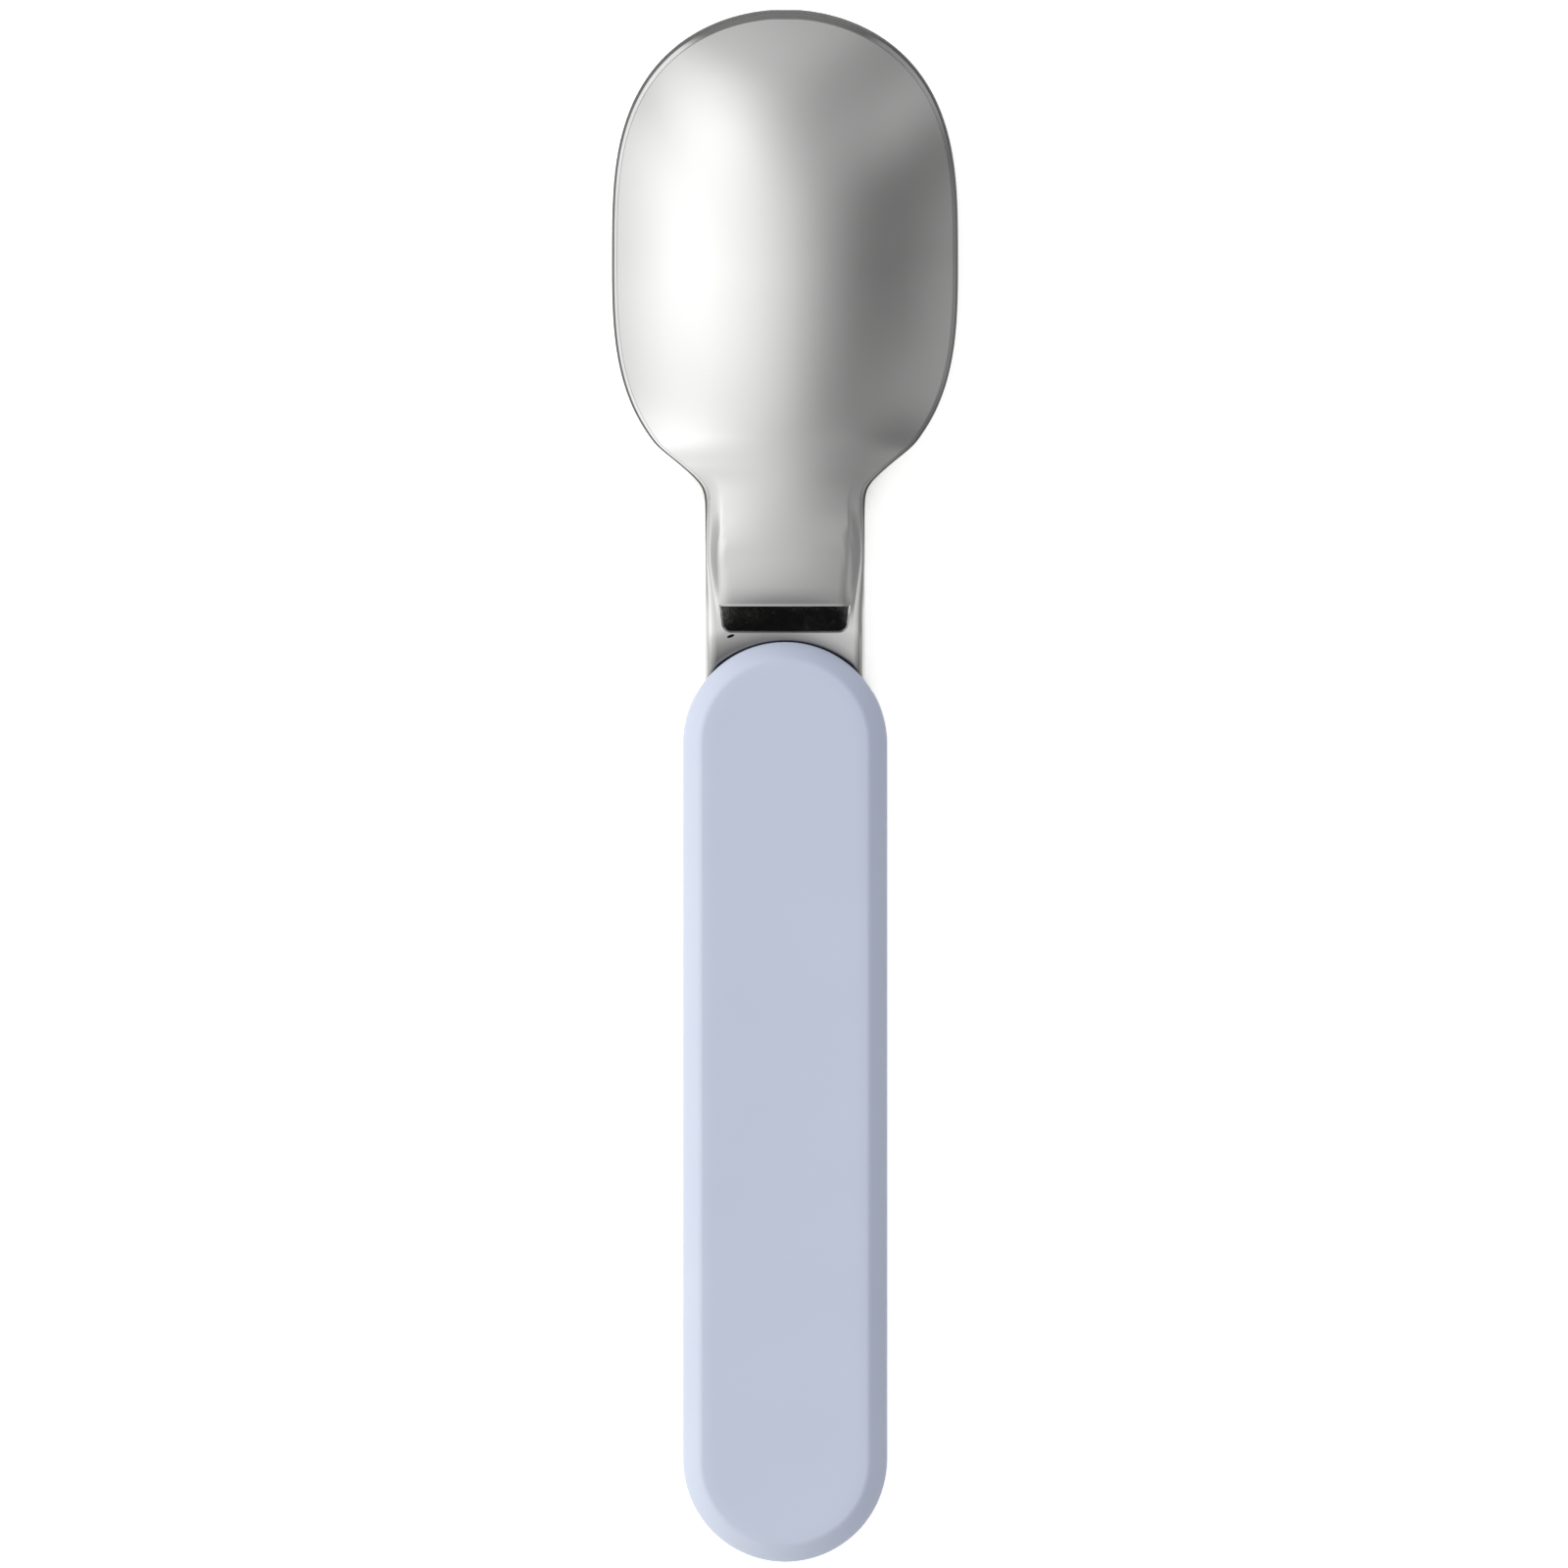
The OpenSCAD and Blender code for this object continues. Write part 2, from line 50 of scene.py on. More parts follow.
# Sizes of the handle
HANDLE_LENGTH = 100.6
HANDLE_WIDTH = 22.4
HANDLE_THICKNESS = 11.2
SIDE_DRAFT = 0.1
FACE_BEVEL = 1.9
BEVEL_HEIGHT = 1.9
BEVEL_ROUND = 0.35
BEVEL_CROWN = 0.18
FACE_ROLL = 0.05
FACE_ROLL_WIDTH = 1.2
BACK_ROUND = 1.2
SEAM_BEVEL = 0.2
ROOF = 2.2
CHEEK_FACE = 9.1
CHEEK_FRONT = 5.6
RECESS_FLAT = 12.0
RECESS_END = 27.12
PIN_SEAT = 1.52
PIN_HALF_LENGTH = 10.32
END_RADIUS = HANDLE_WIDTH / 2
STRAIGHT = HANDLE_LENGTH - HANDLE_WIDTH
ROOF_Z = HANDLE_THICKNESS - ROOF
STRIP_SEAT_HALF = 8.8
STRIP_SEAT_TOP = 9.25
STRIP_SEAT_BACK = 11.7
STRIP_SEAT_FRONT = 1.7
RIVET_BACK = 8.5
RIVET_RADIUS = 1.0
RIVET_TOP = 10.15
SHELL_WALL = 2.2
FLOOR_WALL = 2.0
RECESS_WALL = 3.5
CAVITY_START = RECESS_END + RECESS_WALL
PEG_RADIUS = 1.5
PEG_GAP = 0.05
PEG_DEPTH = 2.5
BOSS_RADIUS = 3.0
PEG_SET_BACK = 4.0
PEG_PLACES = (-CAVITY_START - BOSS_RADIUS - PEG_SET_BACK, -STRAIGHT)
RIB_HALF = 0.6
RIB_DEPTH = 2.5
RIB_COUNT = 3
EMBED = 0.5
OVERCUT = 1.0

# Sizes of the head
HEAD_REACH = 80.6
BOWL_WIDTH = 37.898
BOWL_LENGTH = 54.1
BOWL_SQUARENESS = 3.1
BOWL_DEPTH = 6.599
NECK_WIDTH = 17.4
SHEET = 1.0
RIM_BAND = 0.6
TIP_BAND = 1.1
TIP_STEEPER = 0.14
SIDE_STEEPER = -0.12
TIP_SQUARENESS = 2.4
LEDGE = 1.15
LEDGE_NARROW = 0.32
BUMP_CROWN = 0.5
BUMP_WALL = 0.84
WALL_ROUND = 0.14
WEB_DIP_START = 14.0
WEB_BEND = 2.8
WEB_ROUND = 0.88
WEB_ROUND_SPAN = (4, 7)
WEB_SLOPE = 0.36
WEB_START = 2.5
SLOT_START = 12.3
SLOT_END = 15.0
LIP_END = SLOT_END + 2.2
SLOT_HALF = 6.65
SLOT_FLARE = 0.3
SLOT_CORNER = 0.75
SLOT_BEVEL = 0.2
NICK_PLACE = (-5.93, 11.74)
NICK_HALF = (0.42, 0.16)
NICK_TURN = 20
LIP_DROP = 0.02
EAR_RADIUS = 4.35
EAR_COINING = 0.03
EAR_BEVEL = 0.12
EAR_STEPS = 72
BORE_RADIUS = 1.55
BOWL_MID = HEAD_REACH - BOWL_LENGTH / 2
JUNCTION = HEAD_REACH - BOWL_LENGTH
TIP_CUT = 0.002
CROWN_HALF_LENGTH = BOWL_LENGTH / 2 - TIP_BAND
CROWN_END = BOWL_MID + CROWN_HALF_LENGTH * (1 - TIP_CUT)
FLANGE_DEPTH = 3.0
FLANGE_FOOT = PIN_Z - FLANGE_DEPTH
FILLET_START = 28.1
FILLET_SLOPE = 1.186
FILLET_SOFT = 0.7
FLARE_LIMIT = 30

# Levels of the head
RAKE = 0.123
TIP_GAP = 0.1
TIP_SLOPE = BOWL_DEPTH * TIP_SQUARENESS / CROWN_HALF_LENGTH + RAKE
TIP_RIM_Z = TIP_SLOPE * TIP_BAND + SHEET * math.sqrt(1 + TIP_SLOPE ** 2) + TIP_GAP
MID_RIM_Z = TIP_RIM_Z + RAKE * (CROWN_END - BOWL_MID)
BOWL_CREST = MID_RIM_Z + BOWL_DEPTH
CREST_BACK = 6.5
BOWL_TOP = BOWL_CREST + RAKE * CREST_BACK / 3
SLOT_Z = 9.25
NECK_RISE = 1.48
NECK_TOP = SLOT_Z + NECK_RISE
SHOULDER_RISE = 0.75
SHOULDER_Z = SLOT_Z + SHOULDER_RISE
RIM_DROP = SHOULDER_Z - MID_RIM_Z

# Spans of s over which the neck's features fade
LEDGE_SPAN = (SLOT_START + 0.7, SLOT_END + 7)
BEND_SPAN = (SLOT_END + 4, JUNCTION + 1)
SHAPE_SPAN = (SLOT_END + 6, JUNCTION + 3)
FILLET_SPAN = (JUNCTION + 4, JUNCTION + 7.5)
SHEET_SPAN = (JUNCTION - 6, JUNCTION + 7)
FLANGE_SPAN = (SLOT_END - 1, JUNCTION + 0.5)

# Place, height and slope along the middle line and along the rim, from the web to the middle of the bowl
CREST_LINE = (
    (SLOT_START - 0.3, SLOT_Z, 0),
    (SLOT_END, SLOT_Z + 0.305 * NECK_RISE, 0.294 * NECK_RISE),
    (LIP_END, SLOT_Z + 0.723 * NECK_RISE, 0.104 * NECK_RISE),
    (SLOT_END + 6, NECK_TOP, 0.061 * NECK_RISE),
    (JUNCTION + 7.5, NECK_TOP + 0.673 * (BOWL_TOP - NECK_TOP), 0.051 * (BOWL_TOP - NECK_TOP)),
    (BOWL_MID - CREST_BACK, BOWL_TOP, 0),
    (BOWL_MID, BOWL_CREST, -RAKE),
)
RIM_LINE = (
    (SLOT_END, SLOT_Z, 0),
    (SLOT_END + 5, SLOT_Z + 0.055 * SHOULDER_RISE, 0.055 * SHOULDER_RISE),
    (JUNCTION - 1.5, SLOT_Z + 0.667 * SHOULDER_RISE, 0.167 * SHOULDER_RISE),
    (JUNCTION + 1.5, SHOULDER_Z, -0.0115 * RIM_DROP),
    (JUNCTION + 4.5, SHOULDER_Z - 0.158 * RIM_DROP, -0.086 * RIM_DROP),
    (JUNCTION + 8, SHOULDER_Z - 0.493 * RIM_DROP, -0.0865 * RIM_DROP),
    (JUNCTION + 12.5, SHOULDER_Z - 0.755 * RIM_DROP, -0.036 * RIM_DROP),
    (JUNCTION + 18.5, SHOULDER_Z - 0.884 * RIM_DROP, -0.0125 * RIM_DROP),
    (BOWL_MID, MID_RIM_Z, -RAKE),
)


def smooth_step(a, b, s):
    t = min(1.0, max(0.0, (s - a) / (b - a)))
    return t * t * (3 - 2 * t)


def fade(span, s):
    return 1 - smooth_step(span[0], span[1], s)


def mix(a, b, t):
    return a + (b - a) * t


def spread(a, b, count):
    return [a + (b - a) * i / count for i in range(count)]


# Plan of the head
def oval_half(s, half_width, half_length):
    u = abs(s - BOWL_MID) / half_length
    return half_width * math.sqrt(1 - u ** BOWL_SQUARENESS) if u < 1 else 0.0


def outline_half(s):
    bowl = oval_half(s, BOWL_WIDTH / 2, BOWL_LENGTH / 2)
    if s > BOWL_MID:
        return bowl
    flare = FILLET_SLOPE * (s - FILLET_START) / FILLET_SOFT
    neck = NECK_WIDTH / 2 + FILLET_SOFT * math.log(1 + math.exp(min(flare, FLARE_LIMIT)))
    return mix(bowl, neck, fade(FILLET_SPAN, s))


def outline_station(s):
    if s <= BOWL_MID:
        return s
    return BOWL_MID + (s - BOWL_MID) * (BOWL_LENGTH / 2) / CROWN_HALF_LENGTH


def crown_half(s):
    if s > BOWL_MID:
        return oval_half(s, BOWL_WIDTH / 2 - RIM_BAND, CROWN_HALF_LENGTH)
    ledge = mix(LEDGE_NARROW, LEDGE, fade(LEDGE_SPAN, s))
    return outline_half(s) - mix(RIM_BAND, ledge, fade(BEND_SPAN, s))


# Heights of the head
def web_dip(s, x):
    """Drop of the web below its level at the slot, round the end of the handle."""
    reach = mix(s, math.hypot(s, WEB_ROUND * x), smooth_step(*WEB_ROUND_SPAN, s))
    u = max(0.0, WEB_DIP_START - reach)
    return WEB_SLOPE * (u * u / (2 * WEB_BEND) if u < WEB_BEND else u - WEB_BEND / 2)


def along_line(line, s):
    """Smooth curve through points given as place, height and slope."""
    for (s0, z0, m0), (s1, z1, m1) in zip(line, line[1:]):
        if s <= s1:
            break
    span = s1 - s0
    t = (s - s0) / span
    between = z0 * (2 * t + 1) * (t - 1) ** 2 + z1 * t * t * (3 - 2 * t)
    return between + span * (m0 * t * (t - 1) ** 2 + m1 * t * t * (t - 1))


def rim_z(s, x=0):
    if s < RIM_LINE[0][0]:
        return SLOT_Z - web_dip(s, x)
    if s > BOWL_MID:
        return MID_RIM_Z - RAKE * (s - BOWL_MID)
    return along_line(RIM_LINE, s)


def crest_rise(s):
    if s <= CREST_LINE[0][0]:
        return 0.0
    if s >= BOWL_MID:
        return BOWL_DEPTH * (1 - ((s - BOWL_MID) / CROWN_HALF_LENGTH) ** TIP_SQUARENESS)
    return along_line(CREST_LINE, s) - (rim_z(s) if s > SLOT_END else SLOT_Z)


def round_ramp(a, b, s, share):
    """Rise from 0 to 1 with a straight middle and a rounded share at each end."""
    t = min(1.0, max(0.0, (s - a) / (b - a)))
    steep = 1 / (1 - share)
    if t < share:
        return steep * t * t / (2 * share)
    if t > 1 - share:
        return 1 - steep * (1 - t) ** 2 / (2 * share)
    return steep * (t - share / 2)


def cross_shape(s, q):
    bowl = 1 - q * q
    bump = (1 - BUMP_CROWN * q * q) * (1 - round_ramp(BUMP_WALL, 1, abs(q), WALL_ROUND))
    return mix(bowl, bump, fade(SHAPE_SPAN, s))


def crown_point(s, q):
    x = q * crown_half(s)
    return Vector((x, s, rim_z(s, x) + crest_rise(s) * cross_shape(s, q)))


NORMAL_STEP = 0.02


def crown_normal(s, q):
    along = crown_point(s + NORMAL_STEP, q) - crown_point(s - NORMAL_STEP, q)
    across = crown_point(s, min(1, q + NORMAL_STEP)) - crown_point(s, max(-1, q - NORMAL_STEP))
    return across.cross(along).normalized()


def inner_point(s, q):
    square = crown_normal(s, q)
    return crown_point(s, q) - SHEET * square.lerp(Vector((0, 0, 1)), fade(SHEET_SPAN, s))


# Rows outside the crown: ground facet or bend of the neck, then cut edge or flange
RIM_SHARE = (0.05, 0.2, 0.4, 0.58, 0.8, 1.0)
RIM_ROLL = (0.01, 0.01, 0.01, 0.01, 0.05, 0.16)
BEND_FLAT = 0.3
BEND_TURN = [math.radians(90 * k / (len(RIM_SHARE) - 1)) for k in range(len(RIM_SHARE))]
TIP_FACING = (0.92, 0.99)
CUT_ROWS = 3
INNER_ROWS = 2
CUT_INSET = 0.12


def border(s, q, outline_x, outline_s):
    """Rows from the crown's edge out to the foot, and the inner points of the flange."""
    crease = crown_point(s, q)
    out = Vector((outline_x - crease.x, outline_s - s, 0))
    width = out.length
    square = crown_normal(s, q)
    slope = (square.x * out.x + square.y * out.y) / (square.z * width)
    steeper = mix(SIDE_STEEPER, TIP_STEEPER, smooth_step(*TIP_FACING, out.y / width))
    neck = fade(BEND_SPAN, s)
    rows = []
    for share, roll, turn in zip(RIM_SHARE, RIM_ROLL, BEND_TURN):
        bend_share = BEND_FLAT + (1 - BEND_FLAT) * math.sin(turn)
        bend_drop = (1 - BEND_FLAT) * width * (1 - math.cos(turn))
        rim_drop = (slope + steeper) * width * share + roll
        place = crease + out * mix(share, bend_share, neck)
        place.z -= mix(rim_drop, bend_drop, neck)
        rows.append(place)
    edge = rows[-1]
    edge_height = SHEET * math.sqrt(1 + slope * slope) - steeper * width - RIM_ROLL[-1]
    flange = fade(FLANGE_SPAN, s)
    low = mix(edge.z - edge_height, FLANGE_FOOT, flange)
    inset = out.normalized() * CUT_INSET * (1 - flange)
    for k in range(1, CUT_ROWS + 1):
        share = k / CUT_ROWS
        rows.append(Vector((edge.x, edge.y, mix(edge.z, low, share))) - inset * share)
    foot = rows[-1]
    side = math.copysign(1, q)
    corner = Vector((outline_x - side * SHEET, outline_s, crease.z - SHEET))
    inner_foot = Vector((outline_x - side * SHEET, outline_s, low))
    return rows, [foot.lerp(corner, flange), foot.lerp(inner_foot, flange)]


def side_border(s, q):
    outline_s = outline_station(s)
    return border(s, q, q * outline_half(outline_s), outline_s)


# Stations along the head, and columns across the crown, one of which is the slot's side
SLOT_LOW = SLOT_START - SLOT_BEVEL
SLOT_HIGH = SLOT_END + SLOT_BEVEL
SLOT_ROUND = SLOT_CORNER + SLOT_BEVEL
CORNER_STEPS = 8
CORNER_TURNS = [math.radians(90 * i / CORNER_STEPS) for i in range(CORNER_STEPS + 1)]
WEB_FINE = 7.0
FINE_SPAN = (JUNCTION - 5, JUNCTION + 8)
TIP_START = 68.0
TIP_STATIONS = 40
STATIONS = (
    spread(WEB_START, WEB_FINE, 6)
    + spread(WEB_FINE, SLOT_LOW, 22)
    + [SLOT_LOW + SLOT_ROUND * (1 - math.cos(a)) for a in CORNER_TURNS[:-1]]
    + spread(SLOT_LOW + SLOT_ROUND, SLOT_HIGH, 4)
    + spread(SLOT_HIGH, LIP_END, 14)
    + spread(LIP_END, FINE_SPAN[0], 12)
    + spread(*FINE_SPAN, 48)
    + spread(FINE_SPAN[1], TIP_START, 44)
    + [CROWN_END - (CROWN_END - TIP_START) * (i / TIP_STATIONS) ** 2 for i in range(TIP_STATIONS, -1, -1)]
)
SLOT_ROWS = (STATIONS.index(SLOT_LOW), STATIONS.index(SLOT_HIGH))
SLOT_COLUMNS = 28
WALL_COLUMNS = 14
BOWL_SLOT_SHARE = 0.72
COLUMN_SPAN = (18, 30)


def slot_side(s):
    """Half width of the slot and its bevel, with round lower corners."""
    half = SLOT_HALF + SLOT_BEVEL + SLOT_FLARE * (s - SLOT_START) / (SLOT_END - SLOT_START)
    if s >= SLOT_LOW + SLOT_ROUND:
        return half
    if s <= SLOT_LOW:
        return SLOT_HALF + SLOT_BEVEL - SLOT_ROUND
    return half - SLOT_ROUND + math.sqrt(SLOT_ROUND ** 2 - (SLOT_ROUND - s + SLOT_LOW) ** 2)


def crown_columns(s):
    """Places across the crown, closer together on the walls."""
    beside = min(s, SLOT_HIGH)
    share = mix(BOWL_SLOT_SHARE, slot_side(beside) / crown_half(beside), fade(COLUMN_SPAN, s))
    middle = [share * (2 * i / SLOT_COLUMNS - 1) for i in range(SLOT_COLUMNS + 1)]
    wall = [mix(share, 1, i / WALL_COLUMNS) for i in range(1, WALL_COLUMNS + 1)]
    return [-q for q in reversed(wall)] + middle + wall


# Finish of each face, and of each row from the crown's edge to the cut edge
POLISHED, FACET, CUT = 0, 1, 2
BAND_FINISHES = [CUT, FACET, FACET, FACET, CUT, CUT] + [CUT] * CUT_ROWS
NECK_FINISHES = [POLISHED, FACET, FACET, FACET, CUT, CUT] + [POLISHED] * CUT_ROWS


class HeadMesh:
    """Vertices and faces of the formed sheet."""

    def __init__(self):
        self.places = []
        self.faces = []
        self.finishes = []

    def add(self, place):
        self.places.append(((place.x + PIN_X) * MM, (place.y + PIN_Y) * MM, place.z * MM))
        return len(self.places) - 1

    def face(self, corners, finish=POLISHED):
        self.faces.append(corners)
        self.finishes.append(finish)

    def strip(self, a, b, finishes=None):
        for k in range(len(a) - 1):
            self.face((a[k], a[k + 1], b[k + 1], b[k]), finishes[k] if finishes else POLISHED)


def formed_sheet():
    """The pressed head as one closed sheet, without its ears."""
    sheet = HeadMesh()
    outer, inner = [], []
    for s in STATIONS:
        columns = crown_columns(s)
        left, left_inner = side_border(s, -1)
        right, right_inner = side_border(s, 1)
        top = [crown_point(s, q) for q in columns]
        below = [inner_point(s, q) for q in columns]
        outer.append([sheet.add(p) for p in left[::-1] + top + right])
        inner.append([sheet.add(p) for p in left_inner[::-1] + below + right_inner])
    edge = len(RIM_SHARE) + CUT_ROWS
    first = edge + WALL_COLUMNS
    last = first + SLOT_COLUMNS
    inner_shift = INNER_ROWS - edge
    for i in range(len(STATIONS) - 1):
        bare = STATIONS[i] > JUNCTION
        crown = [POLISHED] * (len(outer[i]) - 1 - 2 * edge)
        band = [POLISHED] * edge
        if bare:
            band = BAND_FINISHES
        elif STATIONS[i] > BEND_SPAN[0]:
            band = NECK_FINISHES
        finishes = band[::-1] + crown + band
        outer_end = len(outer[i]) - 1
        inner_end = len(inner[i]) - 1
        outer_spans = [(0, outer_end)]
        inner_spans = [(0, inner_end)]
        if SLOT_ROWS[0] <= i < SLOT_ROWS[1]:
            outer_spans = [(0, first), (last, outer_end)]
            inner_spans = [(0, first + inner_shift), (last + inner_shift, inner_end)]
        for low, high in outer_spans:
            sheet.strip(outer[i][low:high + 1], outer[i + 1][low:high + 1], finishes[low:high])
        for low, high in inner_spans:
            sheet.strip(inner[i + 1][low:high + 1], inner[i][low:high + 1])
        foot = CUT if bare else POLISHED
        sheet.face((outer[i][0], inner[i][0], inner[i + 1][0], outer[i + 1][0]), foot)
        sheet.face((outer[i][-1], outer[i + 1][-1], inner[i + 1][-1], inner[i][-1]), foot)
    sheet.face(outer[0] + inner[0][::-1])
    close_tip(sheet, outer[-1][edge:-edge], inner[-1][INNER_ROWS:-INNER_ROWS])
    line_slot(sheet, outer, inner, first, last, inner_shift)
    return sheet


def close_tip(sheet, crown_row, inner_row):
    """Bevel and cut edge across the blunt end of the crown."""
    outline_s = outline_station(CROWN_END)
    half = outline_half(outline_s)
    columns = crown_columns(CROWN_END)
    rows = [[] for _ in range(len(RIM_SHARE) + CUT_ROWS)]
    for q in columns:
        places, _ = border(CROWN_END, q, q * half, outline_s)
        for row, place in zip(rows, places):
            row.append(sheet.add(place))
    for near, far, finish in zip([crown_row] + rows[:-1], rows, BAND_FINISHES):
        sheet.strip(near, far, [finish] * len(near))
    sheet.strip(rows[-1], inner_row)


def line_slot(sheet, outer, inner, first, last, inner_shift):
    """Bevelled walls of the slot, round the loop of grid points that it leaves."""
    low, high = SLOT_ROWS
    loop = [(low, j, 0, 1) for j in range(first, last)]
    for i in range(low, high):
        turn = CORNER_TURNS[min(i - low, len(CORNER_TURNS) - 1)]
        loop.append((i, last, -math.sin(turn), math.cos(turn)))
    loop.append((high, last, -1, -1))
    loop += [(high, j, 0, -1) for j in range(last - 1, first, -1)]
    loop.append((high, first, 1, -1))
    for i in range(high - 1, low, -1):
        turn = CORNER_TURNS[min(i - low, len(CORNER_TURNS) - 1)]
        loop.append((i, first, math.sin(turn), math.cos(turn)))
    rings = [[], [], [], []]
    for i, j, in_x, in_s in loop:
        top = Vector(sheet.places[outer[i][j]]) / MM
        under = Vector(sheet.places[inner[i][j + inner_shift]]) / MM
        shift = Vector((in_x, in_s, 0)) * SLOT_BEVEL
        drop = Vector((0, 0, LIP_DROP if i == high else SLOT_BEVEL))
        base = Vector((PIN_X, PIN_Y, 0))
        rings[0].append(outer[i][j])
        rings[1].append(sheet.add(top - base + shift - drop))
        rings[2].append(sheet.add(under - base + shift + Vector((0, 0, SLOT_BEVEL))))
        rings[3].append(inner[i][j + inner_shift])
    for a, b in zip(rings[:-1], rings[1:]):
        sheet.strip(a + a[:1], b + b[:1])


# Mesh helpers
WELD_REACH = 0.0005 * MM
SLIVER_REACH = 0.0002 * MM


def new_piece(name, mesh):
    piece = bpy.data.objects.new(name, mesh)
    bpy.context.scene.collection.objects.link(piece)
    return piece


def clean_mesh(mesh):
    bm = bmesh.new()
    bm.from_mesh(mesh)
    bmesh.ops.remove_doubles(bm, verts=bm.verts, dist=WELD_REACH)
    bmesh.ops.dissolve_degenerate(bm, edges=bm.edges, dist=SLIVER_REACH)
    bmesh.ops.recalc_face_normals(bm, faces=bm.faces)
    bm.to_mesh(mesh)
    bm.free()


def shade(mesh, sharp_degrees, is_crease=None):
    """Smooth shading with sharp edges above an angle, and where is_crease says so."""
    bm = bmesh.new()
    bm.from_mesh(mesh)
    limit = math.radians(sharp_degrees)
    for face in bm.faces:
        face.smooth = True
    for edge in bm.edges:
        angle = edge.calc_face_angle(0.0)
        edge.smooth = angle < limit and not (is_crease and all(is_crease(v.co) for v in edge.verts))
    bm.to_mesh(mesh)
    bm.free()


def combine(target, tool, operation):
    """Boolean of two pieces that leaves one closed mesh on the first."""
    modifier = target.modifiers.new("combine", "BOOLEAN")
    modifier.object = tool
    modifier.operation = operation
    modifier.solver = "EXACT"
    depsgraph = bpy.context.evaluated_depsgraph_get()
    mesh = bpy.data.meshes.new_from_object(target.evaluated_get(depsgraph))
    target.modifiers.clear()
    target.data = mesh
    bpy.data.objects.remove(tool)


def prism(profile, half):
    """Closed solid with a side profile in s and z, from x = -half to half."""
    count = len(profile)
    places = [((x + PIN_X) * MM, (s + PIN_Y) * MM, z * MM) for x in (-half, half) for s, z in profile]
    faces = [tuple(range(count)), tuple(range(2 * count - 1, count - 1, -1))]
    faces += [(k, k + count, (k + 1) % count + count, (k + 1) % count) for k in range(count)]
    mesh = bpy.data.meshes.new("tool")
    mesh.from_pydata(places, [], faces)
    clean_mesh(mesh)
    return new_piece("tool", mesh)


def upright(plan, low, high):
    """Closed solid that stands on a plan given in x and s."""
    count = len(plan)
    places = [((x + PIN_X) * MM, (s + PIN_Y) * MM, z * MM) for z in (low, high) for x, s in plan]
    faces = [tuple(range(count - 1, -1, -1)), tuple(range(count, 2 * count))]
    faces += [(k, (k + 1) % count, (k + 1) % count + count, k + count) for k in range(count)]
    mesh = bpy.data.meshes.new("tool")
    mesh.from_pydata(places, [], faces)
    clean_mesh(mesh)
    return new_piece("tool", mesh)


def oval(place, half, degrees=0, count=32):
    turn = math.radians(degrees)
    plan = []
    for k in range(count):
        u = half[0] * math.cos(2 * math.pi * k / count)
        v = half[1] * math.sin(2 * math.pi * k / count)
        x = place[0] + u * math.cos(turn) - v * math.sin(turn)
        s = place[1] + u * math.sin(turn) + v * math.cos(turn)
        plan.append((x, s))
    return plan


def post(s, radius, low, high):
    return upright(oval((0, s), (radius, radius)), low, high)


def circle(s, z, radius, count=64):
    turns = [2 * math.pi * k / count for k in range(count)]
    return [(s + radius * math.cos(a), z + radius * math.sin(a)) for a in turns]


# Spoon head
HEAD_SHARP = 32
CREASE_START = JUNCTION + 1.5
CREASE_NEAR = 0.002


def ear(side):
    """Round ear of one flange with its bore, and a small bevel on both."""
    half = SHEET / 2 - EAR_COINING
    middle = side * (NECK_WIDTH / 2 - SHEET / 2)
    bevel = EAR_BEVEL
    section = [(BORE_RADIUS, -half + bevel), (BORE_RADIUS, half - bevel), (BORE_RADIUS + bevel, half),
               (EAR_RADIUS - bevel, half), (EAR_RADIUS, half - bevel), (EAR_RADIUS, -half + bevel),
               (EAR_RADIUS - bevel, -half), (BORE_RADIUS + bevel, -half)]
    places, faces = [], []
    for k in range(EAR_STEPS):
        turn = 2 * math.pi * k / EAR_STEPS
        for radius, x in section:
            places.append(((middle + x + PIN_X) * MM, (PIN_Y + radius * math.cos(turn)) * MM,
                           (PIN_Z + radius * math.sin(turn)) * MM))
    width = len(section)
    for k in range(EAR_STEPS):
        a, b = k * width, (k + 1) % EAR_STEPS * width
        faces += [(a + m, a + (m + 1) % width, b + (m + 1) % width, b + m) for m in range(width)]
    mesh = bpy.data.meshes.new("ear")
    mesh.from_pydata(places, [], faces)
    clean_mesh(mesh)
    return new_piece("ear", mesh)


def on_rim_crease(co):
    x, s, z = co.x / MM - PIN_X, co.y / MM - PIN_Y, co.z / MM
    if s < CREASE_START:
        return False
    if abs(s - CROWN_END) < CREASE_NEAR:
        return abs(x) < crown_half(CROWN_END) + CREASE_NEAR and z > rim_z(s) - CREASE_NEAR
    beside = abs(abs(x) - crown_half(s)) < CREASE_NEAR
    return s < CROWN_END and beside and abs(z - rim_z(s)) < CREASE_NEAR


def spoon_head():
    sheet = formed_sheet()
    mesh = bpy.data.meshes.new("spoon_head_form")
    mesh.from_pydata(sheet.places, [], sheet.faces)
    mesh.polygons.foreach_set("material_index", sheet.finishes)
    mesh.materials.append(polished_steel())
    mesh.materials.append(rim_facet())
    mesh.materials.append(painted_shade_edge())
    clean_mesh(mesh)
    piece = new_piece("spoon_head_form", mesh)
    for side in (-1, 1):
        combine(piece, ear(side), "UNION")
    nick = upright(oval(NICK_PLACE, NICK_HALF, NICK_TURN), SLOT_Z - 2 * SHEET, SLOT_Z + SHEET)
    combine(piece, nick, "DIFFERENCE")
    shade(piece.data, HEAD_SHARP, on_rim_crease)
    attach(piece, "head")
    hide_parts("spoon_head")


# Handle shells
END_STEPS = 48
ROUND_STEPS = 8
BACK_STEPS = 12
SHELL_SHARP = 30
FACE_RINGS = (0.3, 1.5)
BACK_RINGS = (1.2, 0.3)


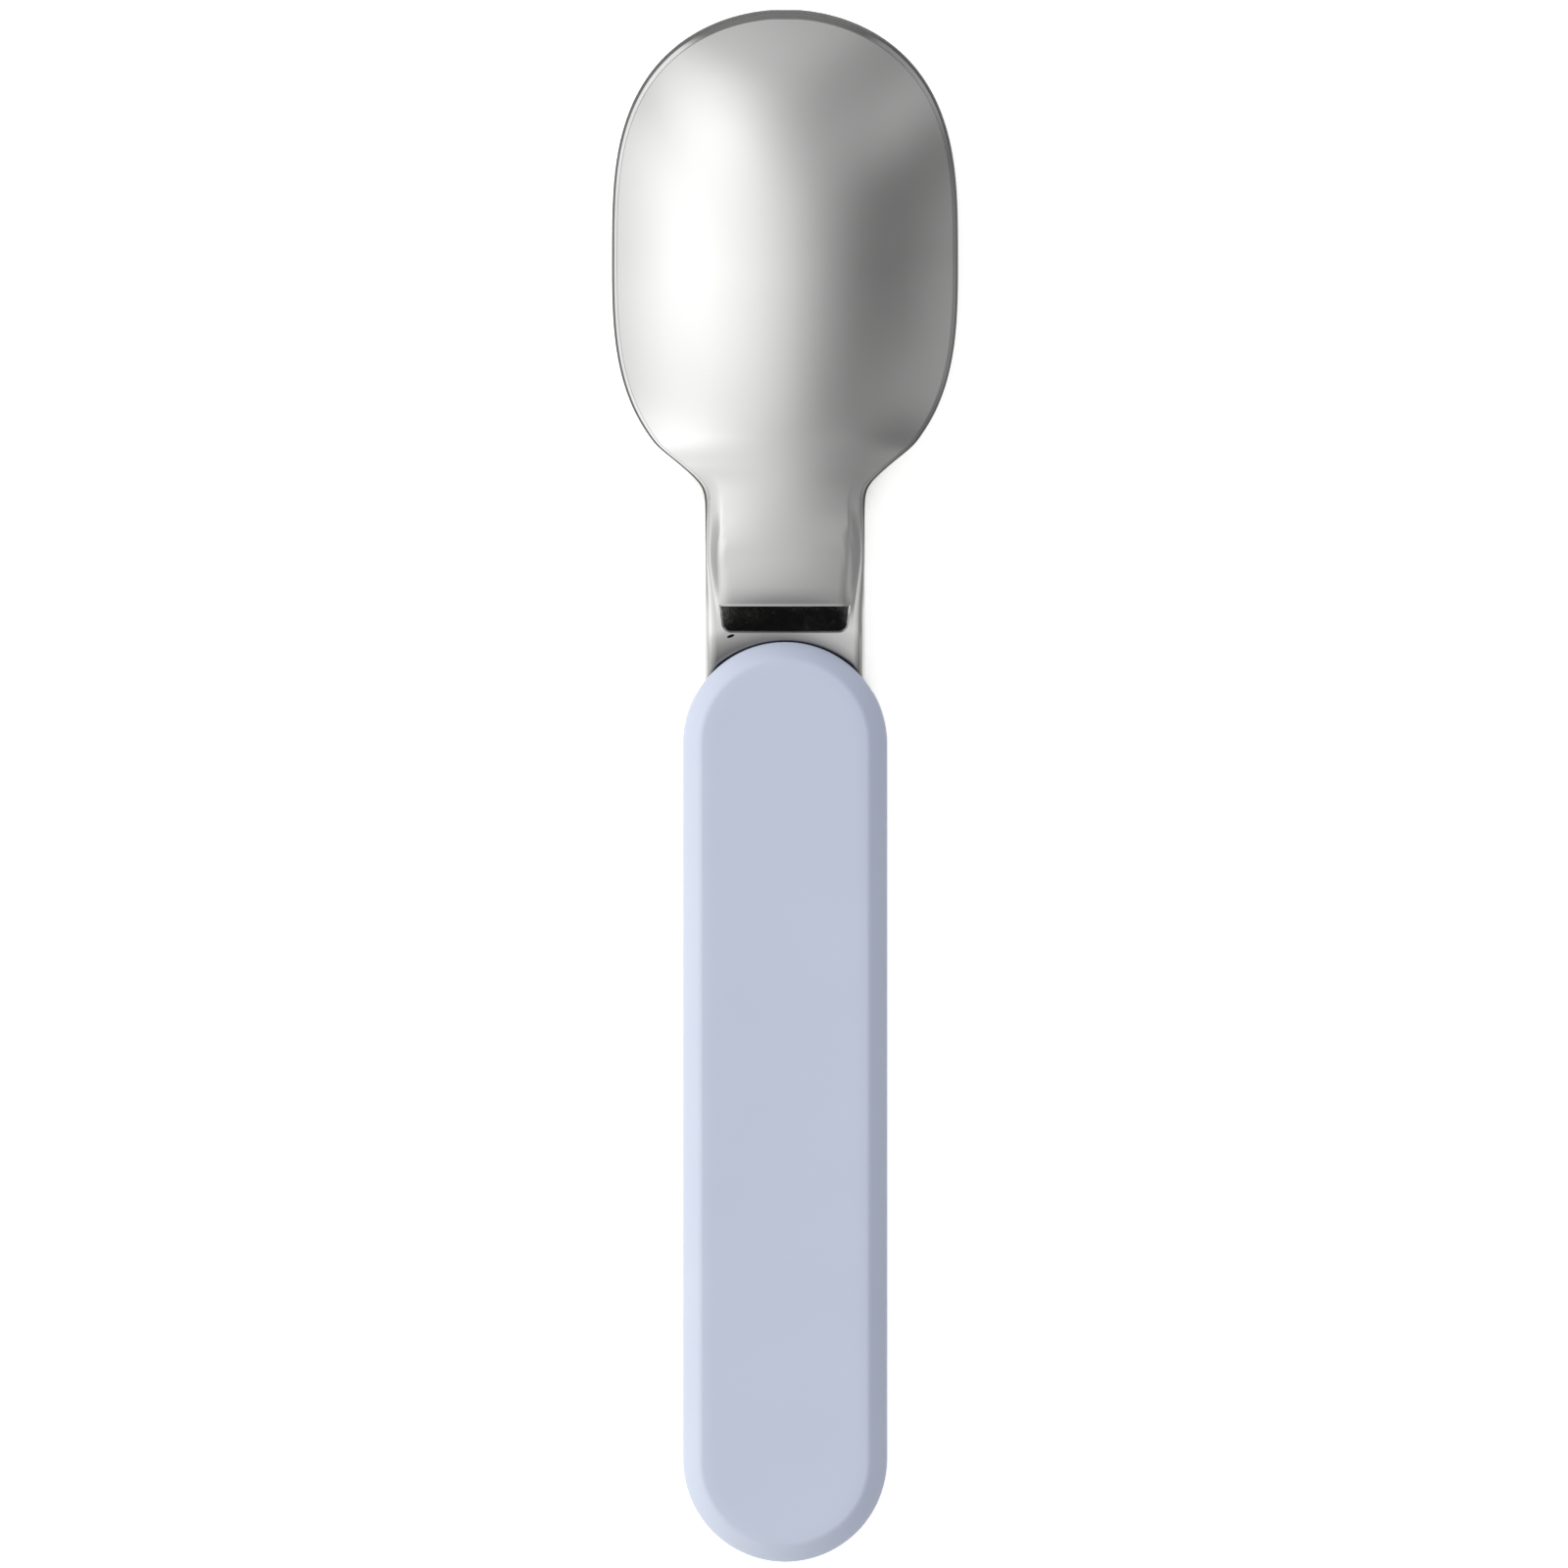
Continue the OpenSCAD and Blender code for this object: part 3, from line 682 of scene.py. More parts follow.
def stadium_ring(radius):
    front = [math.pi * k / END_STEPS for k in range(END_STEPS + 1)]
    ring = [(radius * math.cos(a), radius * math.sin(a)) for a in front]
    return ring + [(-x, -s - STRAIGHT) for x, s in ring]


def stadium_solid(name, profile):
    """Closed solid with a stadium plan from rings given as radius and height, bottom ring first."""
    places, faces = [], []
    for radius, z in profile:
        places += [((x + PIN_X) * MM, (s + PIN_Y) * MM, z * MM) for x, s in stadium_ring(radius)]
    count = 2 * (END_STEPS + 1)
    for row in range(len(profile) - 1):
        a, b = row * count, (row + 1) * count
        faces += [(a + k, a + (k + 1) % count, b + (k + 1) % count, b + k) for k in range(count)]
    faces.append(tuple(range(count - 1, -1, -1)))
    faces.append(tuple(range((len(profile) - 1) * count, len(profile) * count)))
    mesh = bpy.data.meshes.new(name)
    mesh.from_pydata(places, [], faces)
    clean_mesh(mesh)
    return new_piece(name, mesh)


def arc(radius, z, bend, start, end, steps):
    turns = [math.radians(mix(start, end, k / steps)) for k in range(steps + 1)]
    return [(radius + bend * math.cos(a), z + bend * math.sin(a)) for a in turns]


def bend_point(start, corner, end, share):
    return start.lerp(corner, share).lerp(corner.lerp(end, share), share)


def round_corner(before, corner, after):
    """Points of a line that rounds its corner."""
    start = corner + BEVEL_ROUND * (before - corner).normalized()
    end = corner + BEVEL_ROUND * (after - corner).normalized()
    return [bend_point(start, corner, end, k / ROUND_STEPS) for k in range(ROUND_STEPS + 1)]


def cut_hinge(piece):
    """Cuts that both shells share: the neck's recess, the open front below the roof and the pin's seat."""
    ahead = END_RADIUS + OVERCUT
    slope = (RECESS_END - RECESS_FLAT) / ROOF_Z
    foot = -RECESS_END - slope * OVERCUT
    recess = [(ahead, -OVERCUT), (ahead, ROOF_Z), (-RECESS_FLAT, ROOF_Z), (foot, -OVERCUT)]
    combine(piece, prism(recess, CHEEK_FACE), "DIFFERENCE")
    front = [(ahead, -OVERCUT), (ahead, ROOF_Z), (CHEEK_FRONT, ROOF_Z), (CHEEK_FRONT, -OVERCUT)]
    combine(piece, prism(front, HANDLE_WIDTH), "DIFFERENCE")
    combine(piece, prism(circle(0, PIN_Z, PIN_SEAT), PIN_HALF_LENGTH), "DIFFERENCE")


def hollow_out(piece, low, high):
    """Cavity behind the recess, with the round end of the butt."""
    half = END_RADIUS - SHELL_WALL
    turns = [math.pi * (1 + k / END_STEPS) for k in range(END_STEPS + 1)]
    plan = [(half * math.cos(a), half * math.sin(a) - STRAIGHT) for a in turns]
    plan = [(-half, -CAVITY_START)] + plan + [(half, -CAVITY_START)]
    combine(piece, upright(plan, low, high), "DIFFERENCE")


def front_shell():
    top = HANDLE_THICKNESS
    low = Vector((END_RADIUS, PIN_Z + SEAM_BEVEL))
    side = Vector((END_RADIUS - SIDE_DRAFT, top - BEVEL_HEIGHT))
    face = Vector((side.x - FACE_BEVEL, top - FACE_ROLL))
    flat = Vector((face.x - FACE_ROLL_WIDTH, top))
    profile = [(END_RADIUS - SEAM_BEVEL, PIN_Z), low]
    crown = (side + face) / 2 + BEVEL_CROWN * Vector((BEVEL_HEIGHT, FACE_BEVEL)).normalized()
    inner, outer = round_corner(crown, face, flat), round_corner(low, side, crown)
    bevel = [bend_point(outer[-1], crown, inner[0], k / ROUND_STEPS) for k in range(1, ROUND_STEPS)]
    profile += outer + bevel + inner
    profile += [flat] + [(flat.x - inset, top) for inset in FACE_RINGS]
    piece = stadium_solid("front_shell_form", profile)
    cut_hinge(piece)
    strip = [(STRIP_SEAT_FRONT, ROOF_Z - OVERCUT), (STRIP_SEAT_FRONT, STRIP_SEAT_TOP),
             (-STRIP_SEAT_BACK, STRIP_SEAT_TOP), (-STRIP_SEAT_BACK, ROOF_Z - OVERCUT)]
    combine(piece, prism(strip, STRIP_SEAT_HALF), "DIFFERENCE")
    combine(piece, post(-RIVET_BACK, RIVET_RADIUS, ROOF_Z - OVERCUT, RIVET_TOP), "DIFFERENCE")
    hollow_out(piece, PIN_Z - OVERCUT, ROOF_Z)
    for k in range(1, RIB_COUNT + 1):
        s = mix(*PEG_PLACES, k / (RIB_COUNT + 1))
        low, high = ROOF_Z - RIB_DEPTH, ROOF_Z + EMBED
        rib = [(s - RIB_HALF, low), (s + RIB_HALF, low), (s + RIB_HALF, high), (s - RIB_HALF, high)]
        combine(piece, prism(rib, END_RADIUS - SHELL_WALL + EMBED), "UNION")
    for s in PEG_PLACES:
        combine(piece, post(s, BOSS_RADIUS, PIN_Z, ROOF_Z + EMBED), "UNION")
        socket = post(s, PEG_RADIUS + PEG_GAP, PIN_Z - OVERCUT, PIN_Z + PEG_DEPTH + PEG_GAP)
        combine(piece, socket, "DIFFERENCE")
    piece.data.materials.append(lavender_plastic())
    shade(piece.data, SHELL_SHARP)
    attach(piece, "handle")
    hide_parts("front_shell")


def back_shell():
    profile = [(END_RADIUS - BACK_ROUND - inset, 0) for inset in BACK_RINGS]
    profile += arc(END_RADIUS - BACK_ROUND, BACK_ROUND, BACK_ROUND, -90, 0, BACK_STEPS)
    profile += [(END_RADIUS, PIN_Z - SEAM_BEVEL), (END_RADIUS - SEAM_BEVEL, PIN_Z)]
    piece = stadium_solid("back_shell_form", profile)
    cut_hinge(piece)
    hollow_out(piece, FLOOR_WALL, PIN_Z + OVERCUT)
    for s in PEG_PLACES:
        combine(piece, post(s, PEG_RADIUS, FLOOR_WALL - EMBED, PIN_Z + PEG_DEPTH), "UNION")
    piece.data.materials.append(lavender_plastic())
    shade(piece.data, SHELL_SHARP)
    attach(piece, "handle")
    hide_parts("back_shell")


# Node helpers
def add_node(tree, kind, **settings):
    node = tree.nodes.new(kind)
    for name, value in settings.items():
        setattr(node, name, value)
    return node


def join(tree, source, target):
    tree.links.new(source, target)


def new_group(name, inputs, outputs):
    group = bpy.data.node_groups.new(name, "ShaderNodeTree")
    for label, value in inputs.items():
        socket = group.interface.new_socket(label, in_out="INPUT", socket_type="NodeSocketFloat")
        socket.default_value = value
    for label in outputs:
        group.interface.new_socket(label, in_out="OUTPUT", socket_type="NodeSocketFloat")
    return group, add_node(group, "NodeGroupInput"), add_node(group, "NodeGroupOutput")


def scaled_place(tree, stretch):
    """Place on the object, stretched along each axis."""
    place = add_node(tree, "ShaderNodeTexCoord")
    mapping = add_node(tree, "ShaderNodeMapping")
    mapping.inputs["Scale"].default_value = stretch
    join(tree, place.outputs["Object"], mapping.inputs["Vector"])
    return mapping.outputs["Vector"]


def remap(tree, source, low, high, to_low, to_high, shape="LINEAR"):
    node = add_node(tree, "ShaderNodeMapRange", clamp=True, interpolation_type=shape)
    node.inputs["From Min"].default_value = low
    node.inputs["From Max"].default_value = high
    node.inputs["To Min"].default_value = to_low
    node.inputs["To Max"].default_value = to_high
    join(tree, source, node.inputs["Value"])
    return node.outputs["Result"]


def blended(tree, kind, share, first, second):
    node = add_node(tree, "ShaderNodeMix", data_type="RGBA", blend_type=kind)
    node.inputs["Factor"].default_value = 1
    if share:
        join(tree, share, node.inputs["Factor"])
    join(tree, first, node.inputs["A"])
    join(tree, second, node.inputs["B"])
    return node.outputs["Result"]


# Shared effects
def fine_grain_group():
    """Moulded or rolled grain and slow changes of tone."""
    name = "fine_grain"
    if name in bpy.data.node_groups:
        return bpy.data.node_groups[name]
    group, given, result = new_group(name, {"Grain Scale": 4000.0, "Tone Scale": 60.0}, ("Height", "Tone"))
    place = scaled_place(group, (1, 1, 1))
    for label, scale, detail in (("Height", "Grain Scale", 4.0), ("Tone", "Tone Scale", 3.0)):
        noise = add_node(group, "ShaderNodeTexNoise")
        noise.inputs["Detail"].default_value = detail
        join(group, place, noise.inputs["Vector"])
        join(group, given.outputs[scale], noise.inputs["Scale"])
        join(group, noise.outputs["Fac"], result.inputs[label])
    return group


def polish_lines_group():
    """Fine lines that polishing or drawing leaves along the spoon."""
    name = "polish_lines"
    if name in bpy.data.node_groups:
        return bpy.data.node_groups[name]
    group, given, result = new_group(name, {"Line Scale": 900.0}, ("Height",))
    noise = add_node(group, "ShaderNodeTexNoise")
    noise.inputs["Detail"].default_value = 5.0
    join(group, scaled_place(group, (1, 0.04, 1)), noise.inputs["Vector"])
    join(group, given.outputs["Line Scale"], noise.inputs["Scale"])
    join(group, noise.outputs["Fac"], result.inputs["Height"])
    return group


def fine_marks_group():
    """Sparse small marks from use."""
    name = "fine_marks"
    if name in bpy.data.node_groups:
        return bpy.data.node_groups[name]
    inputs = {"Mark Scale": 160.0, "Mark Size": 0.05, "Bare Share": 0.9}
    group, given, result = new_group(name, inputs, ("Mask",))
    cells = add_node(group, "ShaderNodeTexVoronoi")
    join(group, scaled_place(group, (1, 0.6, 1)), cells.inputs["Vector"])
    join(group, given.outputs["Mark Scale"], cells.inputs["Scale"])
    near = add_node(group, "ShaderNodeMath", operation="LESS_THAN")
    join(group, cells.outputs["Distance"], near.inputs[0])
    join(group, given.outputs["Mark Size"], near.inputs[1])
    split = add_node(group, "ShaderNodeSeparateColor")
    join(group, cells.outputs["Color"], split.inputs["Color"])
    chosen = add_node(group, "ShaderNodeMath", operation="GREATER_THAN")
    join(group, split.outputs["Red"], chosen.inputs[0])
    join(group, given.outputs["Bare Share"], chosen.inputs[1])
    both = add_node(group, "ShaderNodeMath", operation="MULTIPLY")
    join(group, near.outputs["Value"], both.inputs[0])
    join(group, chosen.outputs["Value"], both.inputs[1])
    join(group, both.outputs["Value"], result.inputs["Mask"])
    return group


def place_group(tree, group, **values):
    node = add_node(tree, "ShaderNodeGroup", node_tree=group)
    for label, value in values.items():
        node.inputs[label.replace("_", " ")].default_value = value
    return node


def new_material(name, metallic, roughness):
    material = bpy.data.materials.get(name)
    if material:
        return material, None
    material = bpy.data.materials.new(name)
    material.use_nodes = True
    shader = material.node_tree.nodes["Principled BSDF"]
    shader.inputs["Metallic"].default_value = metallic
    shader.inputs["Roughness"].default_value = roughness
    return material, shader


def two_tones(tree, share, tones):
    """Colour between a dark tone and a light one."""
    dark, light = tones
    blend = add_node(tree, "ShaderNodeMix", data_type="RGBA")
    blend.inputs["A"].default_value = (*dark, 1)
    blend.inputs["B"].default_value = (*light, 1)
    join(tree, share, blend.inputs["Factor"])
    return blend.outputs["Result"]


def relief(tree, height, distance, strength, shader):
    bump = add_node(tree, "ShaderNodeBump")
    bump.inputs["Distance"].default_value = distance
    bump.inputs["Strength"].default_value = strength
    join(tree, height, bump.inputs["Height"])
    join(tree, bump.outputs["Normal"], shader.inputs["Normal"])


# Finishes
# Painted shade: the steel's colour darkens in creases and beside the handle's end, where ambient occlusion
# is low.
CREVICE_SHADE_REACH = 2.2 * MM
CREVICE_SHADE_OPEN = (0.5, 0.88)
CREVICE_SHADE_TONE = 0.25
# Painted shade on the sloped walls of the neck.
WALL_SHADE_TONE = 0.7
WALL_SHADE_FACING = (0.96, 0.84)
WALL_SHADE_SIDE = (6.9, 7.5)
WALL_SHADE_START = (14, 17)
WALL_SHADE_END = (31, 24)
# Span towards the tip where the facet grows rougher and gets painted shade.
COARSE_AND_SHADED_SPAN = (76.4, 78.0)
TIP_SHADE_TONE = 0.38
FACET_ROUGHNESS = (0.14, 0.3)
STEEL_TONES = ((0.492, 0.491, 0.488), (0.512, 0.511, 0.508))
FACET_TONES = ((0.4, 0.4, 0.398), (0.47, 0.47, 0.467))
# Painted shade: the cut edge's steel is far darker than the rest, standing in for the shade it reflects.
EDGE_SHADE_TONES = ((0.09, 0.09, 0.09), (0.15, 0.15, 0.149))
PLASTIC_TONES = ((0.437, 0.485, 0.626), (0.464, 0.512, 0.645))
MARK_COLOUR = (0.36, 0.4, 0.5)
MARK_STRENGTH = 0.6
PIN_TONES = ((0.48, 0.48, 0.475), (0.6, 0.6, 0.59))
STRIP_TONES = ((0.38, 0.37, 0.36), (0.52, 0.51, 0.49))
ACETAL_TONES = ((0.8, 0.8, 0.77), (0.88, 0.88, 0.86))


def neck_wall_shade(tree):
    """Painted shade: darker tone on the sloped walls of the neck."""
    place = add_node(tree, "ShaderNodeTexCoord")
    spot = add_node(tree, "ShaderNodeSeparateXYZ")
    facing = add_node(tree, "ShaderNodeSeparateXYZ")
    side = add_node(tree, "ShaderNodeMath", operation="ABSOLUTE")
    join(tree, place.outputs["Object"], spot.inputs["Vector"])
    join(tree, place.outputs["Normal"], facing.inputs["Vector"])
    join(tree, spot.outputs["X"], side.inputs[0])
    share = remap(tree, facing.outputs["Z"], *WALL_SHADE_FACING, 0, 1)
    for source, base, span in (
        (side.outputs["Value"], 0, WALL_SHADE_SIDE),
        (spot.outputs["Y"], PIN_Y, WALL_SHADE_START),
        (spot.outputs["Y"], PIN_Y, WALL_SHADE_END),
    ):
        low, high = ((base + edge) * MM for edge in span)
        both = add_node(tree, "ShaderNodeMath", operation="MULTIPLY")
        join(tree, share, both.inputs[0])
        join(tree, remap(tree, source, low, high, 0, 1, "SMOOTHSTEP"), both.inputs[1])
        share = both.outputs["Value"]
    return remap(tree, share, 0, 1, 1, WALL_SHADE_TONE)


def polished_steel():
    material, shader = new_material("pressed_steel_finish", 1.0, 0.2)
    if shader is None:
        return material
    tree = material.node_tree
    grain = place_group(tree, fine_grain_group(), Grain_Scale=2500.0, Tone_Scale=45.0)
    lines = place_group(tree, polish_lines_group(), Line_Scale=1400.0)
    tone = two_tones(tree, remap(tree, grain.outputs["Tone"], 0.35, 0.65, 0, 1), STEEL_TONES)
    # Painted shade: darker steel where ambient occlusion finds creases and the handle's end close by.
    crevice_shade = add_node(tree, "ShaderNodeAmbientOcclusion", samples=8)
    crevice_shade.inputs["Distance"].default_value = CREVICE_SHADE_REACH
    crevice_shade_tone = remap(tree, crevice_shade.outputs["AO"], *CREVICE_SHADE_OPEN, CREVICE_SHADE_TONE, 1)
    tone = blended(tree, "MULTIPLY", None, tone, crevice_shade_tone)
    # Painted shade on the sloped walls of the neck.
    tone = blended(tree, "MULTIPLY", None, tone, neck_wall_shade(tree))
    join(tree, tone, shader.inputs["Base Color"])
    join(tree, remap(tree, grain.outputs["Tone"], 0.3, 0.7, 0.2, 0.24), shader.inputs["Roughness"])
    relief(tree, lines.outputs["Height"], 0.004 * MM, 0.25, shader)
    return material


def rim_facet():
    """Ground facet of the rim, rougher round the tip, with painted shade that darkens it there."""
    material, shader = new_material("rim_facet_finish", 1.0, FACET_ROUGHNESS[0])
    if shader is None:
        return material
    tree = material.node_tree
    lines = place_group(tree, polish_lines_group(), Line_Scale=2600.0)
    tone = two_tones(tree, lines.outputs["Height"], FACET_TONES)
    place = add_node(tree, "ShaderNodeTexCoord")
    spot = add_node(tree, "ShaderNodeSeparateXYZ")
    join(tree, place.outputs["Object"], spot.inputs["Vector"])
    # Painted shade: the facet's colour darkens towards the tip.
    start, end = ((PIN_Y + s) * MM for s in COARSE_AND_SHADED_SPAN)
    tip_shade = remap(tree, spot.outputs["Y"], start, end, 1, TIP_SHADE_TONE, "SMOOTHSTEP")
    join(tree, blended(tree, "MULTIPLY", None, tone, tip_shade), shader.inputs["Base Color"])
    join(tree, remap(tree, spot.outputs["Y"], start, end, *FACET_ROUGHNESS), shader.inputs["Roughness"])
    relief(tree, lines.outputs["Height"], 0.004 * MM, 0.3, shader)
    return material


def painted_shade_edge():
    material, shader = new_material("painted_shade_edge_finish", 1.0, 0.35)
    if shader is None:
        return material
    tree = material.node_tree
    lines = place_group(tree, polish_lines_group(), Line_Scale=2600.0)
    # Painted shade: a very dark colour on the cut edge in place of the shade it reflects.
    join(tree, two_tones(tree, lines.outputs["Height"], EDGE_SHADE_TONES), shader.inputs["Base Color"])
    relief(tree, lines.outputs["Height"], 0.01 * MM, 0.3, shader)
    return material


def lavender_plastic():
    material, shader = new_material("moulded_lavender_finish", 0.0, 0.5)
    if shader is None:
        return material
    tree = material.node_tree
    grain = place_group(tree, fine_grain_group(), Grain_Scale=5200.0, Tone_Scale=38.0)
    marks = place_group(tree, fine_marks_group(), Mark_Scale=150.0, Mark_Size=0.045, Bare_Share=0.93)
    tone = two_tones(tree, remap(tree, grain.outputs["Tone"], 0.3, 0.7, 0, 1), PLASTIC_TONES)
    worn = add_node(tree, "ShaderNodeMix", data_type="RGBA")
    worn.inputs["B"].default_value = (*MARK_COLOUR, 1)
    join(tree, tone, worn.inputs["A"])
    join(tree, remap(tree, marks.outputs["Mask"], 0, 1, 0, MARK_STRENGTH), worn.inputs["Factor"])
    join(tree, worn.outputs["Result"], shader.inputs["Base Color"])
    join(tree, remap(tree, grain.outputs["Height"], 0.3, 0.7, 0.46, 0.56), shader.inputs["Roughness"])
    relief(tree, grain.outputs["Height"], 0.006 * MM, 0.35, shader)
    return material


def drawn_steel():
    material, shader = new_material("drawn_pin_finish", 1.0, 0.28)
    if shader is None:
        return material
    tree = material.node_tree
    lines = place_group(tree, polish_lines_group(), Line_Scale=3000.0)
    join(tree, two_tones(tree, lines.outputs["Height"], PIN_TONES), shader.inputs["Base Color"])
    relief(tree, lines.outputs["Height"], 0.004 * MM, 0.3, shader)
    return material


def spring_strip():
    material, shader = new_material("spring_strip_finish", 1.0, 0.32)
    if shader is None:
        return material
    tree = material.node_tree
    grain = place_group(tree, fine_grain_group(), Grain_Scale=2600.0, Tone_Scale=120.0)
    join(tree, two_tones(tree, grain.outputs["Tone"], STRIP_TONES), shader.inputs["Base Color"])
    relief(tree, grain.outputs["Height"], 0.004 * MM, 0.3, shader)
    return material


def white_acetal():
    material, shader = new_material("acetal_washer_finish", 0.0, 0.38)
    if shader is None:
        return material
    tree = material.node_tree
    grain = place_group(tree, fine_grain_group(), Grain_Scale=3000.0, Tone_Scale=200.0)
    join(tree, two_tones(tree, grain.outputs["Tone"], ACETAL_TONES), shader.inputs["Base Color"])
    relief(tree, grain.outputs["Height"], 0.004 * MM, 0.2, shader)
    return material


NODE_FINISHES = {
    "hinge_pin": drawn_steel,
    "spring_rivet": drawn_steel,
    "friction_spring": spring_strip,
    "left_washer": white_acetal,
    "right_washer": white_acetal,
}


def finish_nodes():
    for name, finish in NODE_FINISHES.items():
        node = frame["nodes"][name]
        node.data.materials.clear()
        node.data.materials.append(finish())


# Studio
FLOOR_HALF = 2.5
FLOOR_COLOUR = (0.78, 0.78, 0.78)
FLOOR_GLOW = 0.68
FLOOR_DROP = 0.05 * MM
# Painted shade: the floor turns nearly black where the object closes over it.
HOLLOW_SHADE_REACH = 80 * MM
HOLLOW_SHADE_OPEN = (0.27, 0.46)
HOLLOW_SHADE_COLOUR = (0.02, 0.02, 0.02)

# Light by direction: stops from left to right, from the near end to the far end, or upwards
ACROSS_LIGHT = (
    (0.0, 1.8), (0.03, 1.92), (0.06, 2.0), (0.12, 2.15), (0.19, 2.2), (0.265, 2.0),
    (0.4, 1.63), (0.5, 1.31), (0.595, 0.93), (0.69, 0.6), (0.77, 0.38), (0.84, 0.28),
    (0.9, 0.3), (0.94, 0.44), (0.97, 0.7), (1.0, 1.0),
)
NEAR_LIGHT = (
    (0.0, 1.45), (0.1, 1.52), (0.2, 1.43), (0.275, 1.38), (0.35, 1.3), (0.425, 1.15),
    (0.5, 0.95), (0.575, 0.68), (0.65, 0.48), (0.75, 0.42), (0.825, 0.62), (0.9, 0.8), (1.0, 0.85),
)
FAR_LIGHT = (
    (0.0, 1.45), (0.075, 1.55), (0.14, 1.75), (0.2, 2.45), (0.25, 2.6), (0.3, 2.5), (0.355, 2.2),
    (0.425, 1.68), (0.5, 1.2), (0.575, 0.9), (0.645, 0.76), (0.75, 0.78), (0.85, 1.1), (1.0, 1.4),
)
END_LIGHT = ((0.0, 1.42), (0.35, 1.4), (0.5, 1.2), (0.7, 0.98), (0.85, 1.05), (1.0, 1.2))
ALONG_LIGHT = (
    (0.0, 0.95), (0.06, 0.85), (0.12, 0.5), (0.18, 0.36), (0.25, 0.6), (0.35, 0.84), (0.4, 0.91),
    (0.425, 0.94), (0.45, 0.96), (0.48, 0.985), (0.5, 1.0), (0.655, 0.975), (0.725, 0.94), (0.8, 0.86),
    (0.875, 0.74), (0.932, 0.74), (0.972, 0.97), (0.99, 0.92), (1.0, 0.85),
)
RISE_LIGHT = ((0.0, 0.75), (0.12, 0.68), (0.22, 0.66), (0.35, 0.78), (0.47, 0.92), (0.6, 1.0), (1.0, 1.0))
LOW_LIGHT = ((0.0, 1.0), (0.5, 0.95), (1.0, 0.9))

# Directions over which one light turns into the next
LOW_RISE = (0.55, 0.32)
LOW_ALONG = (-0.3, -0.6)
NEAR_SPAN = (0.05, -0.2)
FAR_SPAN = (0.34, 0.72)
END_SPAN = (0.78, 0.93)

# Strength of the light, and the lamp
LIGHT_TOP = 2.7
SIDE_LAMP_SIZE = (0.9, 0.4)
SIDE_LAMP_PLACE = (-0.9, -0.15, 0.3)
SIDE_LAMP_POWER = 4.6
SIDE_LAMP_COLOUR = (1.0, 0.93, 0.65)


def ramp(tree, source, stops, top):
    node = add_node(tree, "ShaderNodeValToRGB")
    elements = node.color_ramp.elements
    while len(elements) < len(stops):
        elements.new(0.5)
    for element, (place, value) in zip(elements, stops):
        element.position = place
        element.color = (value / top, value / top, value / top, 1)
    join(tree, source, node.inputs["Fac"])
    return node.outputs["Color"]


def studio_light():
    """Soft light that falls off to the right and towards both ends, with a low fill at the near end."""
    world = bpy.data.worlds.new("studio")
    bpy.context.scene.world = world
    world.use_nodes = True
    tree = world.node_tree
    background = tree.nodes["Background"]
    place = add_node(tree, "ShaderNodeTexCoord")
    split = add_node(tree, "ShaderNodeSeparateXYZ")
    join(tree, place.outputs["Generated"], split.inputs["Vector"])
    side = remap(tree, split.outputs["X"], -1, 1, 0, 1)
    light = ramp(tree, side, ACROSS_LIGHT, LIGHT_TOP)
    for stops, span in ((NEAR_LIGHT, NEAR_SPAN), (FAR_LIGHT, FAR_SPAN), (END_LIGHT, END_SPAN)):
        share = remap(tree, split.outputs["Y"], *span, 0, 1, "SMOOTHSTEP")
        light = blended(tree, "MIX", share, light, ramp(tree, side, stops, LIGHT_TOP))
    along = ramp(tree, remap(tree, split.outputs["Y"], -1, 1, 0, 1), ALONG_LIGHT, 1)
    light = blended(tree, "MULTIPLY", None, light, along)
    light = blended(tree, "MULTIPLY", None, light, ramp(tree, split.outputs["Z"], RISE_LIGHT, 1))
    low = add_node(tree, "ShaderNodeMath", operation="MULTIPLY")
    join(tree, remap(tree, split.outputs["Z"], *LOW_RISE, 0, 1, "SMOOTHSTEP"), low.inputs[0])
    join(tree, remap(tree, split.outputs["Y"], *LOW_ALONG, 0, 1, "SMOOTHSTEP"), low.inputs[1])
    light = blended(tree, "MIX", low.outputs["Value"], light, ramp(tree, side, LOW_LIGHT, LIGHT_TOP))
    join(tree, light, background.inputs["Color"])
    background.inputs["Strength"].default_value = LIGHT_TOP


def side_lamp():
    """Large soft lamp low on the left for the handle's edge and the shadow."""
    data = bpy.data.lights.new("side_lamp", "AREA")
    data.shape = "RECTANGLE"
    data.size, data.size_y = SIDE_LAMP_SIZE
    data.energy = SIDE_LAMP_POWER
    data.color = SIDE_LAMP_COLOUR
    lamp = bpy.data.objects.new("side_lamp", data)
    lamp.location = SIDE_LAMP_PLACE
    lamp.rotation_euler = (Vector((0, 0, 0)) - lamp.location).to_track_quat("-Z", "Y").to_euler()
    lamp.visible_glossy = False
    bpy.context.scene.collection.objects.link(lamp)


